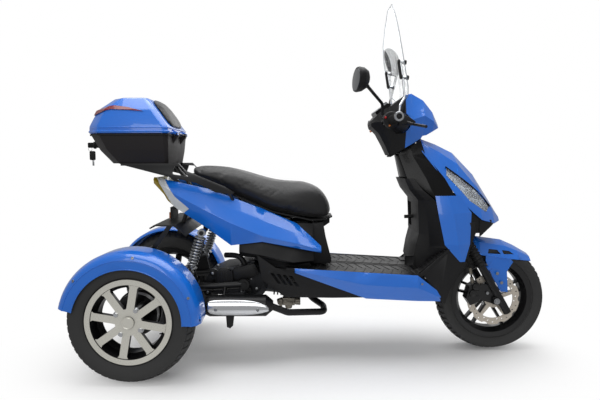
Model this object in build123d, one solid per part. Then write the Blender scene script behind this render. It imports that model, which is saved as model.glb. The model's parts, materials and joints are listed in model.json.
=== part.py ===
from build123d import *
from math import cos, pi, radians, sin, sqrt
import os

# Three-wheeled motor scooter with a top case and a small windscreen.
# Places are measured to the left (Y) from the middle and up (Z) from the floor.
# Forward (X) runs from the rear axle for the rear half, and from the front axle, so mostly
# with a minus, for the steering and the front body. The finished model is then moved so that
# its origin is on the floor under the middle of its overall length.

# Wheels
WHEELBASE = 1534
TRACK = 690
FRONT_TYRE_R = 243
FRONT_TYRE_W = 130
REAR_TYRE_R = 250
REAR_TYRE_W = 145
TYRE_WALL = 11
FRONT_FLANGE_R = 181
REAR_FLANGE_R = 168
FLANGE_H = 14
RIM_WALL = 7
FRONT_RIM_W = 96
REAR_RIM_W = 122
HUB_R = 30
SPINDLE_R = 9
FIT = 0.4
FRONT_SPOKE_PAIRS = 5
REAR_SPOKES = 8
DISC_R = 118
DISC_INNER_R = 88
DISC_T = 4
DISC_GAP = 64
DISC_LOBES = 10
LUG_PCR = 55
LUGS = 4

# Steering: the axis leans back by RAKE and passes through AXIS_X, AXIS_Z
RAKE = 30
AXIS_X = -48
AXIS_Z = 305
LEG_AHEAD = 30
LEG_Y = 95
LEG_R = 17
STANCHION_R = 13
BELLOWS_R = 23
LEG_BOTTOM_S = -152
BELLOWS_LOW_S = 92
BELLOWS_TOP_S = 226
YOKE_S = 232
YOKE_H = 26
STEM_R = 13
HEAD_R = 27
HEAD_LOW_S = 266
HEAD_TOP_S = 470
BAR_S = 843
BAR_R = 11
BAR_HALF = 345
GRIP_R = 16
GRIP_IN = 212
GRIP_X = -493
GRIP_Z = 1036
RUNNING_GAP = 7
SCREEN_BOW_R = 1330
SCREEN_T = 3

# Bodywork
PANEL = 3.5
SEAM = 1.0
BODY_HALF = 205
FENDER_WALL = 3
FENDER_OUT_Y = TRACK / 2 + 87
FENDER_IN_Y = TRACK / 2 - 83
FENDER_SKIRT_R = REAR_TYRE_R - 40
FENDER_CREASE_R = REAR_TYRE_R - 2
FENDER_CROWN_R = REAR_TYRE_R + 28
FENDER_FRONT_ANGLE = -2
FENDER_REAR_ANGLE = 167

# Top case
CASE_WALL = 4
CASE_FLOOR_Z = 857
CASE_DEPTH = 125
LID_HEIGHT = 155
CASE_SEAM_Z = CASE_FLOOR_Z + CASE_DEPTH
LID_TOP_Z = CASE_SEAM_Z + LID_HEIGHT
LID_HINGE_X = 132
LOCK_X = -284
LOCK_Z = CASE_SEAM_Z - 44

# Tubes
RAIL_R = 14
RAIL_Y = 92
AXLE_TUBE_R = 26
HUB_INSET = 95
AXLE_TUBE_HALF = TRACK / 2 - HUB_INSET
BACKPLATE_R = 92
BACKPLATE_T = 8
SHOCK_Y = 192
COIL_R = 20
COIL_WIRE = 4.5
COIL_TURNS = 9
MUFFLER_R = 45
MUFFLER_REAR_X = 256
MUFFLER_Y = -204
MUFFLER_Z = 258

NECK_TOP_S = 706
DOWN_X = -344
FLOOR_RAIL_Z = 342
SEAT_RAIL_FRONT_X = 380
SEAT_RAIL_Z = 640
RAIL_END_X = 178
RAIL_END_Z = 686
BIN_TOP_Z = 598
SEAT_HINGE = (790, 594)
PLATE_HOLE_Y = 50
PLATE_X = 90
PLATE_HOLE_R = 3.5
BIN_FLOOR_Z = 520
BRIDGE_X = 104
BRIDGE_Z = 602
PLATE_HOLE_Z = BRIDGE_Z + 22
SHOCK_LOW = (196, 394)
SHOCK_TOP = (250, 566)
ARM_Y = 150
PIVOT = (420, 336)
FLOOR_HALF = 205
DECK_REAR = (604, 414.4)
DECK_FRONT_Z = 381
RACK_DROP = 16
RACK_Z = CASE_FLOOR_Z - RACK_DROP
SEAT_BASE_TOP = 690
SEAT_ROWS = (
    # x, underside z, top z, half width
    (184, 812, 846, 104),
    (260, 772, 848, 128),
    (393, 716, 824, 138),
    (546, 650, 777, 146),
    (709, 612, 771, 126),
    (780, 612, 716, 104),
    (807, 622, 651, 78),
)

RIGHT = -1
LEFT = 1
REAR_REACH = -LOCK_X
OVERALL = REAR_REACH + WHEELBASE + FRONT_TYRE_R
ORIGIN_X = OVERALL / 2 - REAR_REACH

nodes = {}


def keep(name, *shapes):
    """Stores the solids of one node under its name."""
    found = []
    for shape in shapes:
        if isinstance(shape, (list, tuple)):
            for piece in shape:
                found += list(piece.solids())
        else:
            found += list(shape.solids())
    nodes[name] = found


def keep_front(name, *shapes):
    """Stores a node that was drawn from the front axle."""
    keep(name, *shapes)
    nodes[name] = [solid.moved(Location((WHEELBASE, 0, 0))) for solid in nodes[name]]


def at_front(point):
    """A point given from the front axle, counted from the rear axle."""
    return (point[0] + WHEELBASE, point[1], point[2])


def face_of(points):
    """A flat face with these corners, in order."""
    return make_face(Polyline(*[Vector(*p) for p in points], close=True))


def side_prism(outline, y_low, y_high):
    """Extrudes an outline of (x, z) corners across the vehicle."""
    base = face_of([(x, y_low, z) for x, z in outline])
    return extrude(base, amount=y_high - y_low, dir=(0, 1, 0))


def front_prism(outline, x_low, x_high):
    """Extrudes an outline of (y, z) corners along the vehicle."""
    base = face_of([(x_low, y, z) for y, z in outline])
    return extrude(base, amount=x_high - x_low, dir=(1, 0, 0))


def top_prism(outline, z_low, z_high):
    """Extrudes an outline of (x, y) corners upwards."""
    base = face_of([(x, y, z_low) for x, y in outline])
    return extrude(base, amount=z_high - z_low, dir=(0, 0, 1))


def skin(points, wall):
    """Closes an open outline of two coordinates into a strip of one wall's thickness, on its right."""
    inner = []
    last = len(points) - 1
    for i, (a, b) in enumerate(points):
        before = points[max(i - 1, 0)]
        after = points[min(i + 1, last)]
        d1 = Vector(a - before[0], b - before[1]) if i > 0 else None
        d2 = Vector(after[0] - a, after[1] - b) if i < last else None
        n1 = Vector(d1.Y, -d1.X).normalized() if d1 else None
        n2 = Vector(d2.Y, -d2.X).normalized() if d2 else None
        if n1 and n2:
            bisector = (n1 + n2).normalized()
            reach = wall / max(bisector.dot(n1), 0.5)
        else:
            bisector, reach = (n1 or n2), wall
        inner.append((a + bisector.X * reach, b + bisector.Y * reach))
    return points + inner[::-1]


def loft_x(rows, wall, ruled=True):
    """Lofts a skin through outlines of (y, z) points, each at its own x."""
    faces = [face_of([(x, y, z) for y, z in skin(outline, wall)]) for x, outline in rows]
    return loft(faces, ruled=ruled)


def loft_z(rows, wall):
    """Lofts a skin through outlines of (x, y) points, each at its own z."""
    faces = [face_of([(x, y, z) for x, y in skin(outline, wall)]) for z, outline in rows]
    return loft(faces, ruled=True)


def solid_x(rows, ruled=True):
    """Lofts a full solid through closed outlines of (y, z) points, each at its own x."""
    return loft([face_of([(x, y, z) for y, z in outline]) for x, outline in rows], ruled=ruled)


def both_sides(line):
    """An outline from one edge to the middle, carried on to the other edge."""
    return line + [(a, -b) for a, b in line[-2::-1]]


def over_ridge(line):
    """A (y, z) outline from one edge to the ridge, carried on to the other edge."""
    return line + [(-y, z) for y, z in line[-2::-1]]


def solid_z(rows):
    """Lofts a full solid through closed outlines of (x, y) points, each at its own z."""
    return loft([face_of([(x, y, z) for x, y in outline]) for z, outline in rows], ruled=True)


def mirrored(shape):
    """The same shape on the other side of the vehicle."""
    return mirror(shape, about=Plane.XZ)


def rod(start, end, radius):
    """A round bar between two points."""
    a, b = Vector(*start), Vector(*end)
    plane = Plane(origin=a, z_dir=b - a)
    return extrude(plane * Circle(radius), amount=(b - a).length)


def tube_path(points, bend):
    """A route of straight runs joined by arcs."""
    return FilletPolyline(*[Vector(*p) for p in points], radius=bend)


def bent_rod(points, radius, bend):
    """A round bar along a route with bends."""
    path = tube_path(points, bend)
    start = Plane(origin=path @ 0, z_dir=path % 0)
    return sweep(start * Circle(radius), path=path)


def round_about_y(profile, x, z, angle=360, start=0):
    """Turns a profile of (y, radius) corners about a crosswise axis at x, z."""
    face = face_of([(x, y, z + r) for y, r in profile])
    turned = revolve(face, Axis((x, 0, z), (0, 1, 0)), angle)
    return turned.rotate(Axis((x, 0, z), (0, 1, 0)), start) if start else turned


def drum(x, z, y_low, y_high, radius):
    """A cylinder across the vehicle."""
    plane = Plane(origin=(x, y_low, z), z_dir=(0, 1, 0))
    return extrude(plane * Circle(radius), amount=y_high - y_low)


def steer_point(along, ahead, y=0):
    """A point given along the steering axis, ahead of it and to its side."""
    lean = radians(RAKE)
    x = AXIS_X - along * sin(lean) + ahead * cos(lean)
    z = AXIS_Z + along * cos(lean) + ahead * sin(lean)
    return (x, y, z)


def steer_plane(along):
    """The plane square to the steering axis at that distance along it."""
    lean = radians(RAKE)
    return Plane(origin=steer_point(along, 0), x_dir=(0, 1, 0), z_dir=(-sin(lean), 0, cos(lean)))


# Wheels


def tyre(x, z, y, outer_r, width, flange_r):
    """A hollow tyre: crown and side walls as arcs, open towards the rim."""
    half = width / 2
    bead = half * 0.72
    bead_r = flange_r - FLANGE_H + FIT
    waist_r = (outer_r + flange_r) / 2
    shoulder, shoulder_r = half * 0.84, outer_r - width * 0.11

    def arcs(t):
        side = half - t
        return [
            Line((-bead + t, bead_r), (-bead + t, flange_r + 2)),
            ThreePointArc((-bead + t, flange_r + 2), (-side, waist_r), (-shoulder + t, shoulder_r - t / 2)),
            ThreePointArc((-shoulder + t, shoulder_r - t / 2), (0, outer_r - t), (shoulder - t, shoulder_r - t / 2)),
            ThreePointArc((shoulder - t, shoulder_r - t / 2), (side, waist_r), (bead - t, flange_r + 2)),
            Line((bead - t, flange_r + 2), (bead - t, bead_r)),
        ]

    edges = arcs(0) + arcs(TYRE_WALL)
    edges.append(Line((-bead, bead_r), (-bead + TYRE_WALL, bead_r)))
    edges.append(Line((bead - TYRE_WALL, bead_r), (bead, bead_r)))
    profile = make_face(edges)
    section = Plane(origin=(x, y, z), x_dir=(0, 1, 0), z_dir=(1, 0, 0)) * profile
    return revolve(section, Axis((x, y, z), (0, 1, 0)), 360)


def rim_barrel(x, z, y, flange_r, width, tyre_width):
    """The well, bead seats and flanges of a cast rim."""
    half = width / 2
    bead = tyre_width / 2 * 0.72
    seat = flange_r - FLANGE_H
    well = seat - 16
    profile = [
        (-half, flange_r),
        (-bead - FIT, flange_r),
        (-bead - FIT, seat),
        (-bead + TYRE_WALL + 6, seat),
        (-half * 0.4, well),
        (half * 0.4, well),
        (bead - TYRE_WALL - 6, seat),
        (bead + FIT, seat),
        (bead + FIT, flange_r),
        (half, flange_r),
        (half, seat - RIM_WALL),
        (half * 0.45, well - RIM_WALL),
        (-half * 0.45, well - RIM_WALL),
        (-half, seat - RIM_WALL),
    ]
    return round_about_y([(y + a, r) for a, r in profile], x, z)


def front_rim():
    """Cast rim with pairs of thin spokes."""
    x, z = 0, FRONT_TYRE_R
    barrel = rim_barrel(x, z, 0, FRONT_FLANGE_R, FRONT_RIM_W, FRONT_TYRE_W)
    rim_in = FRONT_FLANGE_R - FLANGE_H - 16 - RIM_WALL / 2
    hub = drum(x, z, -DISC_GAP, DISC_GAP - 10, HUB_R + 4)
    whole = barrel + hub
    for pair in range(FRONT_SPOKE_PAIRS):
        for side in (-1, 1):
            foot = [(-7, HUB_R), (7, HUB_R), (5, rim_in), (-5, rim_in)]
            bar = face_of([(u, 0, v) for u, v in foot])
            spoke = extrude(bar, amount=11, dir=(0, 1, 0), both=True)
            spoke = spoke.moved(Location((side * 9, 0, 0)))
            spoke = spoke.rotate(Axis((0, 0, 0), (0, 1, 0)), side * 5 + pair * 360 / FRONT_SPOKE_PAIRS)
            whole = whole + spoke.moved(Location((x, 0, z)))
    return whole - drum(x, z, -100, 100, SPINDLE_R + FIT)


def brake_disc():
    """Wave-edged brake disc on a five-arm carrier, right of the front hub."""
    x, z = 0, FRONT_TYRE_R
    y_in = -DISC_GAP
    ring = drum(x, z, y_in - DISC_T, y_in, DISC_R) - drum(x, z, y_in - DISC_T, y_in, DISC_INNER_R)
    for lobe in range(DISC_LOBES):
        a = 2 * pi * lobe / DISC_LOBES
        notch_x = x + (DISC_R + 12) * cos(a)
        notch_z = z + (DISC_R + 12) * sin(a)
        ring = ring - drum(notch_x, notch_z, y_in - DISC_T, y_in, 19)
    carrier = drum(x, z, y_in - DISC_T, y_in, HUB_R + 10)
    for arm in range(5):
        a = 360 * arm / 5
        foot = [(-9, HUB_R), (9, HUB_R), (6, DISC_INNER_R + 4), (-6, DISC_INNER_R + 4)]
        bar = extrude(face_of([(u, 0, v) for u, v in foot]), amount=DISC_T, dir=(0, -1, 0))
        bar = bar.rotate(Axis((0, 0, 0), (0, 1, 0)), a)
        carrier = carrier + bar.moved(Location((x, y_in, z)))
    return ring + carrier - drum(x, z, -100, 0, SPINDLE_R + FIT + 2)


def rear_rim(side):
    """Cast rim with a flat face of flared spokes near its outer edge."""
    y = side * TRACK / 2
    barrel = rim_barrel(0, REAR_TYRE_R, y, REAR_FLANGE_R, REAR_RIM_W, REAR_TYRE_W)
    face_out = y + side * (REAR_RIM_W / 2 - 4)
    face_in = face_out - side * 22
    low, high = sorted((face_out, face_in))
    rim_in = REAR_FLANGE_R - FLANGE_H - RIM_WALL / 2
    plate = drum(0, REAR_TYRE_R, low, high, rim_in)
    window_in, window_out = 52, rim_in - 8
    outline = [
        (-5, window_in),
        (5, window_in),
        (13, window_in + 18),
        (38, window_out - 12),
        (36, window_out),
        (0, window_out + 5),
        (-36, window_out),
        (-38, window_out - 12),
        (-13, window_in + 18),
    ]
    cutter = extrude(face_of([(u, low - 5, v) for u, v in outline]), amount=high - low + 10, dir=(0, 1, 0))
    for n in range(REAR_SPOKES):
        turned = cutter.rotate(Axis((0, 0, 0), (0, 1, 0)), (n + 0.5) * 360 / REAR_SPOKES + 10)
        plate = plate - turned.moved(Location((0, 0, REAR_TYRE_R)))
    cap = drum(0, REAR_TYRE_R, *sorted((face_in, face_out + side * 6)), 24)
    hub_in = side * (AXLE_TUBE_HALF + BACKPLATE_T + 12)
    hub = drum(0, REAR_TYRE_R, *sorted((hub_in, face_in)), HUB_R + 6)
    brake = drum(0, REAR_TYRE_R, *sorted((hub_in, hub_in + side * 34)), BACKPLATE_R - 6)
    whole = barrel + plate + cap + hub + brake
    for n in range(LUGS):
        a = radians(360 / LUGS * (n + 0.5) + 12)
        x, z = LUG_PCR * cos(a), REAR_TYRE_R + LUG_PCR * sin(a)
        whole = whole + drum(x, z, *sorted((hub_in + side * 30, face_out - side * 4)), 11)
    bore_end = face_in - side * 2
    return whole - drum(0, REAR_TYRE_R, *sorted((hub_in - side, bore_end)), SPINDLE_R + FIT)


def wheels():
    """All three wheels."""
    keep_front("front_tyre", tyre(0, FRONT_TYRE_R, 0, FRONT_TYRE_R, FRONT_TYRE_W, FRONT_FLANGE_R))
    keep_front("front_rim", front_rim())
    keep_front("front_brake_disc", brake_disc())
    for side, word in ((RIGHT, "right"), (LEFT, "left")):
        y = side * TRACK / 2
        keep(f"rear_tyre_{word}", tyre(0, REAR_TYRE_R, y, REAR_TYRE_R, REAR_TYRE_W, REAR_FLANGE_R))
        keep(f"rear_rim_{word}", rear_rim(side))


# Steering


def fork():
    """Stem, lower yoke, two legs and the wheel spindle."""
    stem = rod(steer_point(YOKE_S, 0), steer_point(BAR_S, 0), STEM_R)
    lean = Plane(origin=steer_point(YOKE_S, 0), x_dir=(0, 1, 0), z_dir=steer_plane(0).z_dir)
    half, deep = LEG_Y + 22, LEG_AHEAD + 22
    outline = Polyline((-half, -deep), (half, -deep), (half, 0), (32, 24), (-32, 24), (-half, 0), close=True)
    yoke = extrude(lean * make_face(outline), amount=YOKE_H)
    whole = stem + yoke
    for side in (-1, 1):
        low = steer_point(LEG_BOTTOM_S, LEG_AHEAD, side * LEG_Y)
        seam = steer_point(BELLOWS_LOW_S, LEG_AHEAD, side * LEG_Y)
        top = steer_point(YOKE_S + YOKE_H, LEG_AHEAD, side * LEG_Y)
        whole = whole + rod(low, seam, LEG_R) + rod(seam, top, STANCHION_R)
        lug = [
            (-16, FRONT_TYRE_R - 14),
            (-16, FRONT_TYRE_R + 16),
            (14, FRONT_TYRE_R + 24),
            (34, FRONT_TYRE_R - 22),
        ]
        whole = whole + side_prism(lug, side * LEG_Y - 12, side * LEG_Y + 12)
    spindle = drum(0, FRONT_TYRE_R, -LEG_Y - 20, LEG_Y + 20, SPINDLE_R)
    return whole + spindle


def bellows():
    """Rubber gaiters with pleats over both fork legs."""
    made = []
    pleats = 8
    length = BELLOWS_TOP_S - BELLOWS_LOW_S - 2
    for side in (-1, 1):
        profile = [(STANCHION_R + FIT, 1)]
        for n in range(pleats):
            at = 1 + n * length / pleats
            profile += [(BELLOWS_R - 5, at), (BELLOWS_R, at + length / pleats / 2)]
        profile += [(BELLOWS_R - 5, 1 + length), (STANCHION_R + FIT, 1 + length)]
        ring = revolve(make_face(Plane.XZ * Polyline(*profile, close=True)), Axis.Z, 360)
        base = Plane(
            origin=steer_point(BELLOWS_LOW_S, LEG_AHEAD, side * LEG_Y),
            x_dir=(0, 1, 0),
            z_dir=steer_plane(0).z_dir,
        )
        made.append(ring.moved(base.location))
    return made


def caliper():
    """Two-piston caliper behind the right leg, over the disc's rear edge."""
    x, z = 0, FRONT_TYRE_R
    y_disc = -DISC_GAP - DISC_T / 2
    body = side_prism(
        [(x - 132, z + 8), (x - 118, z + 62), (x - 84, z + 84), (x - 58, z + 58), (x - 74, z - 4), (x - 112, z - 22)],
        y_disc - 30,
        y_disc + 22,
    )
    slot = drum(x, z, y_disc - 6, y_disc + 6, DISC_R + 4)
    arm = [(x - 76, z + 6), (x - 4, z - 18), (x + 2, z + 18), (x - 22, z + 68), (x - 66, z + 76)]
    bracket = side_prism(arm, -LEG_Y + 1, -LEG_Y + 13)
    return body - slot + bracket


def front_fender():
    """Mudguard over the front wheel with side plates and two vents a side."""
    table = (
        # x, ridge z, shoulder y, shoulder z, edge y, edge z
        (-102, 516, 36, 502, 60, 468),
        (-64, 519, 50, 500, 84, 446),
        (49, 503, 58, 482, 88, 430),
        (106, 478, 52, 460, 82, 424),
        (172, 440, 32, 430, 50, 412),
    )
    rows = []
    for x, ridge, shoulder_y, shoulder_z, edge_y, edge_z in table:
        half = [(edge_y, edge_z), (shoulder_y, shoulder_z), (0, ridge)]
        rows.append((x, [(-y, z) for y, z in half] + half[1::-1]))
    shell = loft_x(rows, FENDER_WALL)
    vents = (
        [(-34, 452), (-26, 470), (11, 466), (26, 448)],
        [(38, 448), (32, 465), (66, 460), (86, 446)],
    )
    for vent in vents:
        shell = shell - side_prism(vent, -200, 200)
    plate = [(-44, 444), (66, 430), (78, 414), (52, 372), (58, 278), (26, 280), (-14, 350), (-44, 420)]
    whole = shell
    for side in (-1, 1):
        y_out = side * 84
        whole = whole + side_prism(plate, *sorted((y_out, y_out - side * FENDER_WALL)))
        boss = drum(-34, 386, *sorted((y_out, side * (LEG_Y - LEG_R - FIT))), 9)
        tab = drum(-34, 386, *sorted((y_out, side * (LEG_Y - 4))), 7)
        whole = whole + boss + tab
    return whole


def handlebar():
    """One bent bar through the top of the stem, with its end weights."""
    points = [
        (GRIP_X, -BAR_HALF, GRIP_Z),
        (GRIP_X, -GRIP_IN + 20, GRIP_Z),
        (steer_point(BAR_S, 0)[0] - 4, -80, steer_point(BAR_S, 0)[2] - 8),
        (steer_point(BAR_S, 0)[0] - 4, 80, steer_point(BAR_S, 0)[2] - 8),
        (GRIP_X, GRIP_IN - 20, GRIP_Z),
        (GRIP_X, BAR_HALF, GRIP_Z),
    ]
    bar = bent_rod(points, BAR_R, 40)
    for side in (-1, 1):
        weight = drum(GRIP_X, GRIP_Z, *sorted((side * BAR_HALF, side * (BAR_HALF + 12))), GRIP_R + 2)
        bar = bar + weight
    return bar


def grips():
    """Rubber grips with a flange at the inner end."""
    made = []
    for side in (-1, 1):
        y_in, y_out = side * GRIP_IN, side * (BAR_HALF - FIT)
        sleeve = drum(GRIP_X, GRIP_Z, *sorted((y_in, y_out)), GRIP_R)
        flange = drum(GRIP_X, GRIP_Z, *sorted((y_in, y_in + side * 5)), GRIP_R + 6)
        made.append(sleeve + flange - drum(GRIP_X, GRIP_Z, -BAR_HALF, BAR_HALF, BAR_R + FIT))
    return made


def levers():
    """Brake levers with their clamps and reservoirs."""
    made = []
    for side in (-1, 1):
        y = side * (GRIP_IN - 30)
        clamp = drum(GRIP_X, GRIP_Z, *sorted((y - side * 12, y + side * 26)), BAR_R + 9)
        clamp = clamp - drum(GRIP_X, GRIP_Z, -BAR_HALF, BAR_HALF, BAR_R + FIT)
        tank = Pos(GRIP_X + 34, y + side * 7, GRIP_Z + 10) * Box(34, 38, 30)
        points = [
            (GRIP_X + 40, y + side * 4, GRIP_Z + 2),
            (GRIP_X + 84, y + side * 30, GRIP_Z - 20),
            (GRIP_X + 110, side * (BAR_HALF - 10), GRIP_Z - 38),
        ]
        blade = bent_rod(points, 6, 25)
        made.append(clamp + tank + blade)
    return made


def ring_rows(rows, inset):
    """Closed outlines of (y, z) from rows of x, low z, high z, half width at low, middle and high."""
    made = []
    for x, low, high, w_low, w_mid, w_high in rows:
        a, b, c = w_low - inset, w_mid - inset, w_high - inset
        z0, z2 = low + inset, high - inset
        z1 = z0 + (z2 - z0) * 0.55
        made.append((x, [(-a, z0), (a, z0), (b, z1), (c, z2), (-c, z2), (-b, z1)]))
    return made


def bar_rows_front():
    """Sections of the bar cover's nose."""
    return (
        # x, low z, high z, half width low, middle, high
        (-408, 880, 1150, 54, 102, 66),
        (-381, 900, 1158, 54, 102, 56),
        (-327, 974, 1128, 52, 94, 52),
        (-283, 982, 1078, 42, 74, 40),
        (-253, 988, 1024, 22, 34, 20),
        (-248, 994, 1012, 14, 20, 12),
    )


def bar_cowl_front():
    """Painted nose of the handlebar cover, open to the rear."""
    rows = bar_rows_front()
    outer = solid_x(ring_rows(rows, 0))
    inner = solid_x(ring_rows(((rows[0][0] - 1, *rows[0][1:]),) + rows[1:-1], PANEL))
    shell = outer - inner
    for side in (-1, 1):
        shell = shell - drum(-434, 1030, *sorted((side * 60, side * 140)), 46)
    return shell - below_plane(NECK_TOP_S + RUNNING_GAP)


def below_plane(along):
    """A block under the plane square to the steering axis at that distance along it."""
    return extrude(steer_plane(along) * Rectangle(700, 700), amount=-300)


def bar_cowl_rear():
    """Black rear half of the handlebar cover."""
    front = bar_rows_front()[0]
    rows = (
        # x, low z, high z, half width low, middle, high
        (-556, 1018, 1040, 50, 62, 52),
        (-522, 984, 1074, 58, 100, 84),
        (-494, 932, 1092, 56, 104, 84),
        (-474, 890, 1102, 54, 104, 80),
        front,
    )
    outer = solid_x(ring_rows(rows, 0))
    inner = solid_x(ring_rows(rows[1:-1] + ((front[0] + 1, *front[1:]),), PANEL))
    shell = outer - inner
    for side in (-1, 1):
        low, high = sorted((side * 60, side * 140))
        shell = shell - drum(GRIP_X, GRIP_Z, low, high, BAR_R + 12)
        shell = shell - drum(-434, 1030, low, high, 46)
    return shell - below_plane(NECK_TOP_S + RUNNING_GAP)


def instrument():
    """Display pod set in the rear cover's top, facing the rider."""
    return side_prism([(-530, 1060), (-476, 1096), (-470, 1112), (-486, 1116), (-540, 1076)], -62, 62)


def mirrors():
    """Stalks with domed mirror heads, the right one turned out and the left one up."""
    table = (
        # side, stalk points (x, z), head centre, long axis, half length
        (RIGHT, ((-520, 130, 1060), (-520, 140, 1104), (-604, 286, 1158)), (-640, 318, 1180), (0.1, -0.97, 0.2), 76),
        (LEFT, ((-478, 198, 1056), (-430, 206, 1130), (-384, 262, 1290)), (-396, 322, 1362), (0.25, -0.35, -0.9), 80),
    )
    made = []
    for side, stalk, centre, long_axis, half in table:
        points = [(x, side * y, z) for x, y, z in stalk]
        rod_part = bent_rod(points, 6.5, 30)
        origin = Vector(centre[0], side * centre[1], centre[2])
        across = Vector(*long_axis).normalized()
        facing = Vector(1, side * 0.25, 0.1)
        facing = (facing - across * facing.dot(across)).normalized()
        plane = Plane(origin=origin, x_dir=across, z_dir=facing)
        sections = ((-14, 0.96), (-8, 1), (10, 0.94), (26, 0.72), (34, 0.4))
        head = loft([plane.offset(d) * Ellipse(half * k, 44 * k) for d, k in sections], ruled=True)
        neck = rod(points[-1], tuple(origin + facing * 8), 8)
        made.append(rod_part + neck + head)
    return made


def windscreen():
    """Clear bowed sheet, leaning back, with a leaf-shaped outline."""
    table = (
        # z, x at the middle
        (1125, -400),
        (1300, -434),
        (1440, -457),
        (1545, -467),
    )
    faces = []
    for z, x in table:
        drop = SCREEN_BOW_R - sqrt(SCREEN_BOW_R**2 - 230**2)
        outer = ThreePointArc((x - drop, -230, z), (x, 0, z), (x - drop, 230, z))
        inner = ThreePointArc((x - drop - SCREEN_T, 230, z), (x - SCREEN_T, 0, z), (x - drop - SCREEN_T, -230, z))
        ends = [Line(outer @ 1, inner @ 0), Line(inner @ 1, outer @ 0)]
        faces.append(make_face([outer, ends[0], inner, ends[1]]))
    sheet = loft(faces, ruled=False)
    half = [(60, 1134), (130, 1142), (190, 1172), (208, 1240), (208, 1330), (185, 1410), (125, 1480), (50, 1541)]
    outline = half + [(-y, z) for y, z in half[::-1]]
    return sheet & front_prism(outline, -600, -300)


def windscreen_rods():
    """Two bent rods from the lever clamps to the sheet, with clamping buttons."""
    made = []
    for side in (-1, 1):
        y = side * 150
        points = [
            (GRIP_X + 34, side * 180, GRIP_Z + 14),
            (GRIP_X + 40, side * 172, GRIP_Z + 60),
            (-430, y, 1130),
            (-438, y, 1215),
            (-450, y, 1284),
        ]
        whole = bent_rod(points, 5, 10)
        for x, z in ((-438, 1215), (-449, 1278)):
            whole = whole + rod((x - 8, y, z), (x + 22, y, z - 3), 7)
        made.append(whole)
    return made


def steering():
    """Everything that turns with the handlebar."""
    keep_front("fork", fork())
    keep_front("fork_bellows", bellows())
    keep_front("brake_caliper", caliper())
    keep_front("front_fender", front_fender())
    keep_front("handlebar", handlebar())
    keep_front("grips", grips())
    keep_front("brake_levers", levers())
    keep_front("bar_cowl_front", bar_cowl_front())
    keep_front("bar_cowl_rear", bar_cowl_rear())
    keep_front("instrument", instrument())
    keep_front("mirrors", mirrors())
    keep_front("windscreen", windscreen())
    keep_front("windscreen_rods", windscreen_rods())


# Running gear


def frame():
    """Head tube, down tube, floor rails, seat rails and their cross tubes."""
    head = rod(at_front(steer_point(HEAD_LOW_S, 0)), at_front(steer_point(HEAD_TOP_S, 0)), HEAD_R)
    bore = rod(at_front(steer_point(HEAD_LOW_S - 5, 0)), at_front(steer_point(HEAD_TOP_S + 5, 0)), STEM_R + FIT)
    down_top = at_front(steer_point((HEAD_LOW_S + HEAD_TOP_S) / 2, 0))
    foot = at_front((DOWN_X, 0, FLOOR_RAIL_Z))
    down = bent_rod([down_top, at_front((-312, 0, 480)), foot], RAIL_R + 5, 90)
    whole = head + down
    rail_top = (SEAT_RAIL_FRONT_X + 240, SEAT_RAIL_Z - 30)
    for side in (-1, 1):
        y = side * RAIL_Y
        low = [
            foot,
            (foot[0] - 80, y, FLOOR_RAIL_Z),
            (620, y, FLOOR_RAIL_Z),
            (540, y, 560),
            (SEAT_RAIL_FRONT_X, y, SEAT_RAIL_Z),
        ]
        whole = whole + bent_rod(low, RAIL_R, 50)
        top = [(rail_top[0], y, rail_top[1]), (SEAT_RAIL_FRONT_X, y, SEAT_RAIL_Z), (RAIL_END_X, y, RAIL_END_Z)]
        whole = whole + bent_rod(top, RAIL_R, 60)
        whole = whole + rod((620, y, FLOOR_RAIL_Z), (rail_top[0] - 10, y, rail_top[1]), RAIL_R - 3)
        whole = whole + rod((RAIL_END_X + 6, y, RAIL_END_Z), (BRIDGE_X + 46, y, BRIDGE_Z - 8), RAIL_R - 5)
        low_y, high_y = sorted((side * (RAIL_Y - 6), side * (SHOCK_Y + 16)))
        whole = whole + drum(SHOCK_TOP[0], SHOCK_TOP[1], low_y, high_y, 9)
        top_eye = (SHOCK_TOP[0], side * (RAIL_Y + 6), SHOCK_TOP[1])
        whole = whole + rod(top_eye, (SHOCK_TOP[0] + 10, y, SEAT_RAIL_Z + 24), 11)
    cross = (
        # x, z
        (760, FLOOR_RAIL_Z),
        (foot[0] - 150, FLOOR_RAIL_Z),
        (SEAT_RAIL_FRONT_X + 10, SEAT_RAIL_Z - 2),
        (556, 500),
        (RAIL_END_X + 6, RAIL_END_Z - 1),
    )
    for x, z in cross:
        whole = whole + drum(x, z, -RAIL_Y, RAIL_Y, RAIL_R - 2)
    whole = whole + rod(at_front(steer_point(360, 0)), at_front((-392, 0, 610)), 8)
    whole = whole + rod(at_front(steer_point(430, 0)), at_front((-56, 0, 746)), 8)
    return whole - bore


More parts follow.
